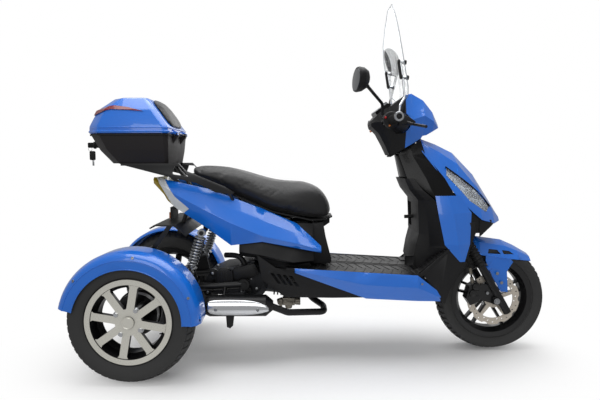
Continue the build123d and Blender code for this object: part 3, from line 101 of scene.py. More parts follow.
def linear(hex_colour: str) -> tuple[float, float, float, float]:
    """Turns an sRGB hex colour into the linear colour that shaders take.

    Args:
        hex_colour: six hex digits after a hash sign.

    Returns:
        Red, green, blue and an alpha of 1.
    """
    values = []
    for i in (1, 3, 5):
        c = int(hex_colour[i : i + 2], 16) / 255
        values.append(c / 12.92 if c <= 0.04045 else ((c + 0.055) / 1.055) ** 2.4)
    return (values[0], values[1], values[2], 1.0)


def add_node(
    tree: bpy.types.NodeTree,
    kind: str,
    settings: Optional[dict] = None,
    inputs: Optional[dict] = None,
) -> bpy.types.Node:
    """Adds a shader node with its settings, values and links.

    Args:
        tree: the node tree.
        kind: the node's type name.
        settings: attributes of the node.
        inputs: socket name or number to a value, or to the output socket to link.

    Returns:
        The new node.
    """
    node = tree.nodes.new(kind)
    for name, value in (settings or {}).items():
        setattr(node, name, value)
    for name, value in (inputs or {}).items():
        socket = node.inputs[name]
        if isinstance(value, bpy.types.NodeSocket):
            tree.links.new(value, socket)
        else:
            socket.default_value = value
    return node


def blank_material(name: str) -> tuple[bpy.types.Material, bpy.types.NodeTree, bpy.types.Node]:
    """Starts a node material.

    Args:
        name: its name.

    Returns:
        The material, its node tree and its main shader.
    """
    material = bpy.data.materials.new(name)
    material.use_nodes = True
    tree = material.node_tree
    return material, tree, tree.nodes["Principled BSDF"]


class Texture(Enum):
    """The kinds of fine surface a finish may have."""

    ORANGE_PEEL = "orange peel of sprayed paint"
    GRAIN = "moulded leather grain"
    BRUSHED = "fine turned or brushed lines"
    CAST = "sand cast roughness"
    PLAIN = "smooth moulding"


@dataclass(frozen=True)
class Finish:
    """A material: what the real one is, and how its surface was made.

    The base colour is mixed with a second one in soft patches of patch_mm, and the bump
    comes from a texture whose cells are grain_mm across. Real grain, grit and turning marks
    measure 0.1 to 0.8 mm and orange peel a few millimetres, which is too fine for the render,
    so each is drawn as coarse as it needs to show.
    """

    name: str
    colour: str
    second: str
    roughness: float
    metallic: float = 0.0
    coat: float = 0.0
    coat_roughness: float = 0.05
    texture: Texture = Texture.PLAIN
    grain_mm: float = 1.0
    bump: float = 0.1
    patch_mm: float = 120.0
    ior: float = 1.5
    transmission: float = 0.0
    alpha: float = 1.0
    specular: float = 0.5
    rough_spread: float = 0.06
    sheen: float = 0.0

    def build(self) -> bpy.types.Material:
        """Builds the node material, once for each name.

        Returns:
            The material.
        """
        made = bpy.data.materials.get(self.name)
        if made:
            return made
        material, tree, shader = blank_material(self.name)
        place = add_node(tree, "ShaderNodeTexCoord").outputs["Object"]
        patches = add_node(
            tree,
            "ShaderNodeTexNoise",
            inputs={"Vector": place, "Scale": 1000 / self.patch_mm, "Detail": 3.0},
        )
        mix = add_node(
            tree,
            "ShaderNodeMix",
            {"data_type": "RGBA"},
            {0: patches.outputs["Fac"], 6: linear(self.colour), 7: linear(self.second)},
        )
        tree.links.new(mix.outputs[2], shader.inputs["Base Color"])
        rough = add_node(
            tree,
            "ShaderNodeMapRange",
            inputs={
                "Value": patches.outputs["Fac"],
                "From Min": 0.3,
                "From Max": 0.7,
                "To Min": max(0.02, self.roughness - self.rough_spread),
                "To Max": min(1.0, self.roughness + self.rough_spread),
            },
        )
        tree.links.new(rough.outputs["Result"], shader.inputs["Roughness"])
        if self.texture is not Texture.PLAIN:
            tree.links.new(self.bump_of(tree, place), shader.inputs["Normal"])
        shader.inputs["Metallic"].default_value = self.metallic
        shader.inputs["Coat Weight"].default_value = self.coat
        shader.inputs["Coat Roughness"].default_value = self.coat_roughness
        shader.inputs["Transmission Weight"].default_value = self.transmission
        shader.inputs["Alpha"].default_value = self.alpha
        shader.inputs["Specular IOR Level"].default_value = self.specular
        shader.inputs["Sheen Weight"].default_value = self.sheen
        if self.metallic < 0.5:
            shader.inputs["IOR"].default_value = self.ior
        return material

    def bump_of(
        self, tree: bpy.types.NodeTree, place: bpy.types.NodeSocket
    ) -> bpy.types.NodeSocket:
        """Adds the fine surface.

        Args:
            tree: the material's node tree.
            place: the object coordinates.

        Returns:
            The socket with the bent normal.
        """
        scale = 1000 / self.grain_mm
        if self.texture is Texture.GRAIN:
            cells = add_node(
                tree,
                "ShaderNodeTexVoronoi",
                {"feature": "DISTANCE_TO_EDGE"},
                {"Vector": place, "Scale": scale},
            ).outputs["Distance"]
            height = add_node(
                tree,
                "ShaderNodeMapRange",
                inputs={"Value": cells, "From Min": 0.0, "From Max": 0.2},
            ).outputs["Result"]
        elif self.texture is Texture.BRUSHED:
            squeezed = add_node(
                tree, "ShaderNodeMapping", inputs={"Vector": place, "Scale": (1.0, 12.0, 1.0)}
            ).outputs["Vector"]
            height = add_node(
                tree,
                "ShaderNodeTexNoise",
                inputs={"Vector": squeezed, "Scale": scale / 6, "Detail": 4.0},
            ).outputs["Fac"]
        else:
            height = add_node(
                tree,
                "ShaderNodeTexNoise",
                inputs={"Vector": place, "Scale": scale, "Detail": 4.0},
            ).outputs["Fac"]
        bump = add_node(
            tree,
            "ShaderNodeBump",
            inputs={"Height": height, "Strength": self.bump, "Distance": self.grain_mm / 4000},
        )
        return bump.outputs["Normal"]


# Sprayed acrylic over ABS panels, with a clear coat: deep gloss with sharp lights on the
# creases, and a trace of orange peel that breaks their edges.
BLUE_ABS = Finish(
    "sprayed_blue_abs", "#0670dc", "#0569d2", 0.32, coat=0.8, coat_roughness=0.04,
    texture=Texture.ORANGE_PEEL, grain_mm=9.0, bump=0.03, rough_spread=0.03,
)
# Textured polypropylene trim: near black, its moulded grain spreads the light to a soft grey.
GRAINED_PP = Finish(
    "grained_black_polypropylene", "#0b0b0d", "#101012", 0.52, specular=0.35,
    texture=Texture.GRAIN, grain_mm=1.6, bump=0.25, rough_spread=0.08,
)
# The top case's lower shell: the same grained trim, in a charcoal a little lighter and warmer.
CHARCOAL_PP = Finish(
    "grained_charcoal_polypropylene", "#1a1718", "#201c1d", 0.5, specular=0.35,
    texture=Texture.GRAIN, grain_mm=1.6, bump=0.25, rough_spread=0.06,
)
# Polished moulding in black ABS, on the column and the instrument: black with clear lights.
GLOSS_ABS = Finish(
    "gloss_black_abs", "#050506", "#070708", 0.24, coat=0.05, specular=0.2,
    texture=Texture.ORANGE_PEEL, grain_mm=8.0, bump=0.03,
)
# Powder coated steel tube: satin black, its lights broken by the powder's fine pebbling.
POWDER_COAT = Finish(
    "black_powder_coat", "#0a0a0b", "#0e0e10", 0.42, specular=0.4, texture=Texture.ORANGE_PEEL,
    grain_mm=2.0, bump=0.2,
)
# Vulcanised tyre rubber, lightly dusted: dull charcoal with almost no lights.
TYRE_RUBBER = Finish(
    "tyre_rubber", "#09090a", "#0f0f10", 0.76, texture=Texture.CAST, grain_mm=1.5, bump=0.25,
    patch_mm=60.0, specular=0.22,
)
# Moulded soft rubber of grips, hoses and seals: matt black, a faint bloom on its edges.
SOFT_RUBBER = Finish(
    "soft_black_rubber", "#09090a", "#0d0d0e", 0.6, specular=0.35, texture=Texture.CAST,
    grain_mm=1.2, bump=0.15,
)
# Aluminium turned with a diamond on the lathe: pale silver, with fine turning lines.
TURNED_ALLOY = Finish(
    "diamond_turned_aluminium", "#e6e4da", "#dcdad0", 0.3, metallic=0.45,
    texture=Texture.BRUSHED, grain_mm=1.5, bump=0.05,
)
# Stove enamel on cast aluminium: black, half gloss, the casting's skin just to be seen.
BLACK_ALLOY = Finish(
    "black_painted_aluminium", "#0a0a0c", "#0e0e10", 0.34, coat=0.2, texture=Texture.CAST,
    grain_mm=2.5, bump=0.08,
)
# Nickel chrome plate on the silencer's shield and the screen rods: a near mirror.
CHROME = Finish("chrome_plate", "#d8dadd", "#cfd1d4", 0.1, metallic=1.0, rough_spread=0.03)
# Zinc plated, brushed steel of bolts, rings and keys: grey, its lights drawn out in lines.
BRUSHED_STEEL = Finish(
    "brushed_steel", "#a9abae", "#96989b", 0.34, metallic=1.0, texture=Texture.BRUSHED,
    grain_mm=1.2, bump=0.1,
)
# Sand cast aluminium of the engine, stained by oil: dark grey with a coarse, dull skin.
CAST_ALLOY = Finish(
    "sand_cast_aluminium", "#3c3d40", "#2e2f31", 0.46, metallic=1.0, texture=Texture.CAST,
    grain_mm=1.6, bump=0.4,
)
# Embossed vinyl of saddle and backrest: soft lights over a leather grain.
SADDLE_VINYL = Finish(
    "embossed_black_vinyl", "#0d0d0f", "#131315", 0.42, texture=Texture.GRAIN, grain_mm=2.2,
    bump=0.3, rough_spread=0.08, sheen=0.1,
)
# Injection moulded polycarbonate of the lamp covers: clear, with sharp lights on it.
CLEAR_LENS = Finish(
    "clear_polycarbonate", "#f2f5f8", "#ecf1f5", 0.05, transmission=0.85, ior=1.12, coat=0.5,
    rough_spread=0.01,
)
# Heat bent acrylic sheet of the windscreen: all but unseen, save for its rim and lights.
SCREEN_SHEET = Finish(
    "clear_acrylic_sheet", "#f4f8fb", "#f0f5f9", 0.03, transmission=1.0, ior=1.1, alpha=0.35,
    rough_spread=0.01,
)
# Acrylic dyed red, for the case's lamp: deep red with sharp lights.
RED_LENS = Finish(
    "red_acrylic_lens", "#8e0418", "#7c0414", 0.12, transmission=0.2, coat=0.6, rough_spread=0.02,
)
# The same acrylic dyed amber, for reflector and start button.
AMBER_LENS = Finish(
    "amber_acrylic_lens", "#e07a12", "#d06c0c", 0.14, transmission=0.3, coat=0.5, rough_spread=0.02,
)
# Black painted casting of the belt case: a dark skin that still shows the sand's grit.
DARK_CASTING = Finish(
    "black_painted_casting", "#18181a", "#232325", 0.46, metallic=0.6, texture=Texture.CAST,
    grain_mm=1.6, bump=0.4,
)
# Pressure die-cast zinc, left bare, of carburettor and hose fittings: warm dull grey.
ZINC_CASTING = Finish(
    "bare_zinc_casting", "#8f8a80", "#746f66", 0.42, metallic=1.0, texture=Texture.CAST,
    grain_mm=1.4, bump=0.3,
)
# Ground stainless steel of the brake disc, dulled by the pads: pale, with a warm cast.
DISC_STEEL = Finish(
    "ground_stainless_disc", "#d8cfc2", "#c6bdb0", 0.36, metallic=0.5, texture=Texture.BRUSHED,
    grain_mm=1.2, bump=0.1,
)
# Polished edge of the acrylic sheet, where light gathers: a thin grey line.
SHEET_EDGE = Finish(
    "polished_acrylic_edge", "#aeb4ba", "#a2a8ae", 0.1, transmission=0.5, ior=1.2,
    rough_spread=0.02,
)
# Red ABS of the stop switch, dyed in the mass: plain bright red.
RED_KNOB = Finish("red_moulded_switch", "#c4121a", "#ae0f16", 0.3, rough_spread=0.03)
# Silver lacquer over ABS on the instrument's surround: grey with a metal flake's sheen.
SILVER_ABS = Finish(
    "silver_lacquered_abs", "#9a9ca0", "#8c8e92", 0.36, metallic=0.7, rough_spread=0.04,
)
# Glass silvered on its back, tinted against glare: a darkened mirror.
MIRROR_SILVER = Finish(
    "silvered_mirror_glass", "#5a5d62", "#54575c", 0.06, metallic=1.0, rough_spread=0.01,
)
# Vacuum-metallised plastic behind the clear lamp covers: bright, with spread lights.
REFLECTOR = Finish(
    "metallised_reflector", "#dfe2e6", "#cfd3d8", 0.3, metallic=0.4, rough_spread=0.04,
)
# Etched glass of the bulbs: white and even.
FROSTED = Finish("frosted_bulb_glass", "#f2f2ee", "#ecece6", 0.25, rough_spread=0.03)

SLOT_FINISH: dict[str, Finish] = {
    "blue_paint": BLUE_ABS,
    "black_plastic": GRAINED_PP,
    "black_gloss": GLOSS_ABS,
    "frame_paint": POWDER_COAT,
    "tyre_rubber": TYRE_RUBBER,
    "soft_rubber": SOFT_RUBBER,
    "seat_vinyl": SADDLE_VINYL,
    "machined_alloy": TURNED_ALLOY,
    "black_alloy": BLACK_ALLOY,
    "chrome": CHROME,
    "steel": BRUSHED_STEEL,
    "engine_alloy": CAST_ALLOY,
    "clear_lens": CLEAR_LENS,
    "red_lens": RED_LENS,
    "amber_lens": AMBER_LENS,
    "screen": SCREEN_SHEET,
}


def node_slots() -> dict[str, str]:
    """The record's material slot of each solid, by its name."""
    return {part["node"]: part["material_slot"] for part in frame["record"]["subparts"]}


def recoat(name: str, material: bpy.types.Material) -> None:
    """Gives a solid of the model a material in place of the one it has.

    Args:
        name: the solid's node.
        material: the material.
    """
    materials = frame["nodes"][name].data.materials
    materials.clear()
    materials.append(material)


def dress_nodes() -> None:
    """Gives every solid of the model the finish of its slot in the record."""
    slots = node_slots()
    for name in frame["nodes"]:
        material = SLOT_FINISH[slots[name]].build()
        recoat(name, material)
        log.info("solid %s in %s", name, material.name)


# Studio


@dataclass
class Studio:
    """Pale floor, soft lamps and the camera at the photograph's viewing angle.

    The lens is given by its focal length and the picture's width in pixels, the camera's
    place in millimetres and its turns in radians. The surround is the level of light that
    the white background sends to the object.
    """

    focal_px: float = 516.38
    width_px: float = 600.0
    sensor_mm: float = 36.0
    pitch: float = 0.081
    yaw: float = 0.0082
    roll: float = -0.0028
    place: Point = (645.2 - 746.5, -2345.7, 877.7)
    surround: float = 0.42
    lamps_table: tuple[tuple[str, Point, Point, float, float], ...] = (
        # name, place, aim, size, power
        ("top_softbox", (0.0, 0.3, 3.2), (0, 0, 0), 3.2, 88.0),
        ("side_softbox", (-0.8, -3.8, 2.4), (0, 0, 0.5), 2.4, 40.0),
        ("rear_softbox", (0.6, 3.2, 2.0), (0, 0, 0.5), 2.4, 20.0),
    )

    def build(self) -> None:
        """Builds the camera, the floor, the lamps and the world."""
        self.camera()
        self.floor()
        self.lamps()
        self.world()

    def camera(self) -> None:
        """Stands the camera where the photograph's perspective puts it."""
        data = bpy.data.cameras.new("photo_camera")
        data.sensor_width = self.sensor_mm
        data.lens = self.sensor_mm * self.focal_px / self.width_px
        data.clip_start = 0.05
        camera = placed("photo_camera", data)
        turn = (
            Matrix.Rotation(-self.yaw, 4, "Z")
            @ Matrix.Rotation(math.pi / 2 - self.pitch, 4, "X")
            @ Matrix.Rotation(self.roll, 4, "Z")
        )
        camera.matrix_world = Matrix.Translation([v / 1000 for v in self.place]) @ turn
        bpy.context.scene.camera = camera

    def floor(self) -> None:
        """Lays a white floor that keeps the shadow and runs into the white surround."""
        bpy.ops.mesh.primitive_plane_add(size=60, location=(0, 0, 0))
        floor = bpy.context.object
        floor.name = "studio_floor"
        material, tree, shader = blank_material("white_studio_floor")
        place = add_node(tree, "ShaderNodeTexCoord").outputs["Object"]
        speckle = add_node(tree, "ShaderNodeTexNoise", inputs={"Vector": place, "Scale": 40.0})
        mix = add_node(
            tree,
            "ShaderNodeMix",
            {"data_type": "RGBA"},
            {0: speckle.outputs["Fac"], 6: linear("#fdfdfd"), 7: linear("#fafafa")},
        )
        tree.links.new(mix.outputs[2], shader.inputs["Base Color"])
        shader.inputs["Roughness"].default_value = 0.9
        shader.inputs["Specular IOR Level"].default_value = 0.0
        oval = add_node(
            tree,
            "ShaderNodeMapping",
            inputs={"Vector": place, "Location": (0.03, 0.1, 0.0), "Scale": (0.75, 1.5, 0.0)},
        )
        reach = add_node(
            tree, "ShaderNodeVectorMath", {"operation": "LENGTH"}, {0: oval.outputs["Vector"]}
        )
        away = add_node(
            tree,
            "ShaderNodeMapRange",
            {"interpolation_type": "SMOOTHSTEP"},
            {"Value": reach.outputs["Value"], "From Min": 0.5, "From Max": 1.1},
        )
        glow = add_node(
            tree,
            "ShaderNodeEmission",
            inputs={"Color": (1, 1, 1, 1), "Strength": self.white_level(tree)},
        )
        fade = add_node(
            tree,
            "ShaderNodeMixShader",
            inputs={0: away.outputs["Result"], 1: shader.outputs[0], 2: glow.outputs[0]},
        )
        tree.links.new(fade.outputs[0], tree.nodes["Material Output"].inputs["Surface"])
        floor.data.materials.append(material)

    def lamps(self) -> None:
        """Hangs three large soft lamps: above, on the camera's side and behind."""
        for name, place, aim, size, power in self.lamps_table:
            data = bpy.data.lights.new(name, "AREA")
            data.size = size
            data.energy = power
            lamp = placed(name, data)
            way = Vector(aim) - Vector(place)
            turn = way.to_track_quat("-Z", "Y").to_matrix().to_4x4()
            lamp.matrix_world = Matrix.Translation(place) @ turn

    def world(self) -> None:
        """White surround to the eye, a plain level of light to the object."""
        world = bpy.data.worlds.new("white_surround")
        bpy.context.scene.world = world
        world.use_nodes = True
        tree = world.node_tree
        tree.nodes.clear()
        back = add_node(
            tree,
            "ShaderNodeBackground",
            inputs={"Color": (1, 1, 1, 1), "Strength": self.white_level(tree)},
        )
        add_node(tree, "ShaderNodeOutputWorld", inputs={"Surface": back.outputs[0]})
        bpy.context.scene.view_settings.view_transform = "Standard"

    def white_level(self, tree: bpy.types.NodeTree) -> bpy.types.NodeSocket:
        """Full white to the eye, also through glass, and the surround's level to the rest.

        Args:
            tree: the node tree of the floor or the world.

        Returns:
            The socket with the level.
        """
        rays = add_node(tree, "ShaderNodeLightPath")
        seen = add_node(
            tree,
            "ShaderNodeMath",
            {"operation": "MAXIMUM"},
            {0: rays.outputs["Is Camera Ray"], 1: rays.outputs["Is Transmission Ray"]},
        )
        level = add_node(
            tree,
            "ShaderNodeMapRange",
            inputs={"Value": seen.outputs[0], "To Min": self.surround, "To Max": 1.0},
        )
        return level.outputs["Result"]


# Bench


def placed(name: str, data: bpy.types.ID) -> bpy.types.Object:
    """Makes an object of some data and puts it in the scene.

    Args:
        name: the object's name.
        data: its mesh, curve, lamp or camera.

    Returns:
        The object.
    """
    made = bpy.data.objects.new(name, data)
    bpy.context.scene.collection.objects.link(made)
    return made


def deselect() -> None:
    """Leaves nothing selected."""
    bpy.ops.object.select_all(action="DESELECT")


def only(piece: bpy.types.Object) -> None:
    """Selects one object alone and makes it active.

    Args:
        piece: the object.
    """
    deselect()
    piece.select_set(True)
    bpy.context.view_layer.objects.active = piece


def settle(piece: bpy.types.Object) -> bpy.types.Object:
    """Moves the piece's place, turn and scale into its mesh.

    Args:
        piece: the piece, changed in place.

    Returns:
        The same piece.
    """
    only(piece)
    bpy.ops.object.transform_apply(location=True, rotation=True, scale=True)
    return piece


def modify(piece: bpy.types.Object, kind: str, **settings: object) -> bpy.types.Object:
    """Adds a modifier and applies it.

    Args:
        piece: the piece.
        kind: the modifier's type.
        settings: its settings.

    Returns:
        The same piece.
    """
    only(piece)
    added = piece.modifiers.new(kind.lower(), kind)
    for name, value in settings.items():
        setattr(added, name, value)
    bpy.ops.object.modifier_apply(modifier=added.name)
    return piece


def pick(piece: bpy.types.Object, test: Callable[[Vector, Vector], bool]) -> int:
    """Opens the piece in edit mode with the faces that pass a test selected.

    Args:
        piece: the piece, left in edit mode.
        test: takes a face's centre and normal.

    Returns:
        How many faces are selected.
    """
    only(piece)
    bpy.ops.object.mode_set(mode="EDIT")
    bpy.ops.mesh.select_mode(type="FACE")
    bpy.ops.mesh.select_all(action="DESELECT")
    mesh = bmesh.from_edit_mesh(piece.data)
    count = 0
    for face in mesh.faces:
        if test(face.calc_center_median(), face.normal):
            face.select_set(True)
            count += 1
    bmesh.update_edit_mesh(piece.data)
    return count


def close_edit() -> None:
    """Leaves edit mode."""
    bpy.ops.object.mode_set(mode="OBJECT")


def join(pieces: Sequence[bpy.types.Object], name: str) -> bpy.types.Object:
    """Joins pieces into the first one and names it.

    Args:
        pieces: the pieces, each with its place in its mesh.
        name: the name for the object and its mesh.

    Returns:
        The one object that is left.
    """
    deselect()
    for piece in pieces:
        piece.select_set(True)
    bpy.context.view_layer.objects.active = pieces[0]
    if len(pieces) > 1:
        bpy.ops.object.join()
    pieces[0].name = name
    pieces[0].data.name = name
    return pieces[0]


def copy_at(piece: bpy.types.Object, places: Iterable[Matrix]) -> list[bpy.types.Object]:
    """Copies a piece, each copy with its own mesh.

    Args:
        piece: the piece.
        places: the matrices that move the copies' meshes.

    Returns:
        The copies, without the first piece.
    """
    made = []
    for place in places:
        twin = piece.copy()
        twin.data = piece.data.copy()
        bpy.context.scene.collection.objects.link(twin)
        twin.data.transform(place)
        made.append(twin)
    return made


def cylinder(
    start: Point, end: Point, radius: float, end_radius: Optional[float] = None, sides: int = 24
) -> bpy.types.Object:
    """A round bar or cone between two points, with bevelled ends.

    Args:
        start: centre of one end.
        end: centre of the other end.
        radius: radius at the start.
        end_radius: radius at the end, the same where it is left out.
        sides: corners of the section.

    Returns:
        The bar, with its place in its mesh.
    """
    a, b = Vector(start), Vector(end)
    length = (b - a).length
    other = radius if end_radius is None else end_radius
    bpy.ops.mesh.primitive_cone_add(
        vertices=sides, radius1=radius, radius2=other, depth=length, location=(0, 0, 0)
    )
    bar = bpy.context.object
    edge = min(radius, other, length) * 0.18
    if edge > 0.0001:
        modify(bar, "BEVEL", width=edge, segments=2, limit_method="ANGLE", angle_limit=0.9)
    bar.data.transform((b - a).to_track_quat("Z", "Y").to_matrix().to_4x4())
    bar.data.transform(Matrix.Translation((a + b) / 2))
    return bar


def block(
    low: Point, high: Point, edge: float = 0.002, turn: Optional[Matrix] = None
) -> bpy.types.Object:
    """A box between two corners with bevelled edges.

    Args:
        low: lowest corner.
        high: highest corner.
        edge: width of the bevel.
        turn: a matrix that turns it about its middle.

    Returns:
        The box, with its place in its mesh.
    """
    a, b = Vector(low), Vector(high)
    bpy.ops.mesh.primitive_cube_add(size=1, location=(0, 0, 0))
    box = bpy.context.object
    box.data.transform(Matrix.Diagonal((*(b - a), 1)))
    if edge:
        modify(box, "BEVEL", width=edge, segments=2, limit_method="ANGLE", angle_limit=0.6)
    if turn:
        box.data.transform(turn)
    box.data.transform(Matrix.Translation((a + b) / 2))
    return box


def side_plate(
    outline: Sequence[Pair], y_low: float, y_high: float, edge: float = 0.001
) -> bpy.types.Object:
    """A plate seen from the side, started as a flat face and extruded along Y.

    Args:
        outline: its (x, z) corners in metres.
        y_low: Y of one face.
        y_high: Y of the other face.
        edge: width of the bevel.

    Returns:
        The plate, with its place in its mesh.
    """
    mesh = bpy.data.meshes.new("plate")
    mesh.from_pydata([(x, y_low, z) for x, z in outline], [], [list(range(len(outline)))])
    plate = placed("plate", mesh)
    only(plate)
    bpy.ops.object.mode_set(mode="EDIT")
    bpy.ops.mesh.select_all(action="SELECT")
    bpy.ops.mesh.extrude_region_move(TRANSFORM_OT_translate={"value": (0, y_high - y_low, 0)})
    bpy.ops.mesh.select_all(action="SELECT")
    bpy.ops.mesh.normals_make_consistent(inside=False)
    close_edit()
    if edge:
        modify(plate, "BEVEL", width=edge, segments=2, limit_method="ANGLE", angle_limit=0.5)
    return plate


def side_slab(
    side: Side, outline: Sequence[Pair], near: float, far: float, edge: float
) -> bpy.types.Object:
    """A plate on the rider's right or left, between two distances from the middle plane.

    Args:
        side: the side it is on.
        outline: its (x, z) corners in metres.
        near: distance of its inner face, in metres.
        far: distance of its outer face, in metres.
        edge: width of the bevel.

    Returns:
        The plate, with its place in its mesh.
    """
    low, high = sorted((side.value * near, side.value * far))
    return side_plate(outline, low, high, edge)


def bent_tube(
    points: Sequence[Point], radius: float, sides: int = 4, smooth: bool = True
) -> bpy.types.Object:
    """A round tube or cable along a smooth line through a few points, made a mesh.

    Args:
        points: control points.
        radius: the tube's radius.
        sides: bevel resolution, a quarter of the corners less one.
        smooth: a rounded line, or straight runs.

    Returns:
        The tube.
    """
    curve = line_through(points, "tube", 8, smooth)
    curve.bevel_depth = radius
    curve.bevel_resolution = sides
    curve.use_fill_caps = True
    tube = placed("tube", curve)
    only(tube)
    bpy.ops.object.convert(target="MESH")
    return bpy.context.object


def line_through(
    points: Sequence[Point], name: str, steps: int, smooth: bool = True
) -> bpy.types.Curve:
    """A curve drawn by a few control points, without thickness.

    Args:
        points: the control points.
        name: the curve's name.
        steps: divisions between two points.
        smooth: a rounded line, or straight runs.

    Returns:
        The curve's data.
    """
    curve = bpy.data.curves.new(name, "CURVE")
    curve.dimensions = "3D"
    curve.resolution_u = steps
    spline = curve.splines.new("NURBS" if smooth else "POLY")
    spline.points.add(len(points) - 1)
    for i, point in enumerate(points):
        spline.points[i].co = (*point, 1)
    if smooth:
        spline.order_u = 3
        spline.use_endpoint_u = True
    return curve


def lofted(
    sections: Sequence[Sequence[Point]], closed: bool = True, caps: bool = True
) -> bpy.types.Object:
    """A skin bridged through sections that all have the same number of points.

    Args:
        sections: rows of points.
        closed: whether each section is a closed ring.
        caps: whether the first and last rings are filled.

    Returns:
        The skin as a mesh, with its faces pointing out.
    """
    mesh = bmesh.new()
    rings = [[mesh.verts.new(p) for p in section] for section in sections]
    count = len(rings[0])
    last = count if closed else count - 1
    for low, high in zip(rings, rings[1:]):
        for i in range(last):
            j = (i + 1) % count
            mesh.faces.new((low[i], low[j], high[j], high[i]))
    if closed and caps:
        mesh.faces.new(rings[0])
        mesh.faces.new(rings[-1])
    data = bpy.data.meshes.new("loft")
    bmesh.ops.recalc_face_normals(mesh, faces=mesh.faces)
    mesh.to_mesh(data)
    mesh.free()
    return placed("loft", data)


def spun(
    profile: Sequence[Pair], centre: Point, axis: str = "Y", steps: int = 64
) -> bpy.types.Object:
    """A closed or open profile spun all round with the spin operator.

    Args:
        profile: its points, each the place along the axis and the radius.
        centre: the axis passes through it, and the profile's places start there.
        axis: X, Y or Z.
        steps: divisions of the turn.

    Returns:
        The spun piece, welded, with its faces pointing out.
    """
    mesh = bpy.data.meshes.new("spun")
    edges = [(i, i + 1) for i in range(len(profile) - 1)]
    mesh.from_pydata([(r, 0, a) for a, r in profile], edges, [])
    piece = placed("spun", mesh)
    only(piece)
    bpy.ops.object.mode_set(mode="EDIT")
    bpy.ops.mesh.select_all(action="SELECT")
    bpy.ops.mesh.spin(steps=steps, angle=2 * math.pi, center=(0, 0, 0), axis=(0, 0, 1))
    bpy.ops.mesh.select_all(action="SELECT")
    bpy.ops.mesh.remove_doubles(threshold=0.00001)
    bpy.ops.mesh.normals_make_consistent(inside=False)
    close_edit()
    turn = {
        "X": Matrix.Rotation(math.pi / 2, 4, "Y"),
        "Y": Matrix.Rotation(-math.pi / 2, 4, "X"),
        "Z": Matrix.Identity(4),
    }[axis]
    piece.data.transform(turn)
    piece.data.transform(Matrix.Translation(centre))
    return piece


def done(
    piece: bpy.types.Object | Sequence[bpy.types.Object],
    name: str,
    body: str,
    finish: Finish,
    angle: float = 40.0,
) -> bpy.types.Object:
    """Names a finished piece, dresses it and lets it ride on its body.

    Args:
        piece: the piece, with its place in its mesh, or several to join into one.
        name: its name.
        body: the body it moves with.
        finish: its finish.
        angle: edges flatter than this are shaded smooth, in degrees.

    Returns:
        The finished piece.
    """
    if not isinstance(piece, bpy.types.Object):
        piece = join(piece, name)
    piece.name = name
    piece.data.name = name
    settle(piece)
    piece.data.materials.clear()
    piece.data.materials.append(finish.build())
    only(piece)
    bpy.ops.object.shade_smooth_by_angle(angle=math.radians(angle))
    deselect()
    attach(piece, body)
    log.info("piece %s on %s, %d faces", name, body, len(piece.data.polygons))
    return piece


def hex_bolt(head: Point, way: Vector, across_flats: float, height: float) -> bpy.types.Object:
    """A hexagon head on a washer, standing out from a surface.

    Args:
        head: the middle of the washer on the surface.
        way: the direction it stands out.
        across_flats: width of the head.
        height: height of the head.

    Returns:
        Washer and head as one piece.
    """
    way = way.normalized()
    base = Vector(head)
    washer_top = tuple(base + way * height * 0.25)
    washer = cylinder(tuple(base), washer_top, across_flats * 0.72, sides=20)
    foot, top = tuple(base + way * height * 0.2), tuple(base + way * height)
    bolt = cylinder(foot, top, across_flats / 2 / 0.866, sides=6)
    return join([washer, bolt], "bolt")


def cap_screw(head: Point, way: Vector, radius: float, height: float) -> bpy.types.Object:
    """A round screw with a sunk socket, standing out from a surface.

    Args:
        head: the middle of its foot on the surface.
        way: the direction it stands out.
        radius: radius of the head.
        height: height of the head.

    Returns:
        The screw's head.
    """
    way = way.normalized()
    base = Vector(head)
    screw = cylinder(tuple(base), tuple(base + way * height), radius, sides=18)

    def on_top(centre: Vector, normal: Vector) -> bool:
        """Whether a face lies on the head's flat end."""
        return normal.dot(way) > 0.95 and (centre - base).dot(way) > height * 0.7

    if pick(screw, on_top):
        bpy.ops.mesh.inset(thickness=radius * 0.35, depth=0)
        bpy.ops.mesh.inset(thickness=radius * 0.08, depth=-height * 0.5)
    close_edit()
    return screw


# Wheels


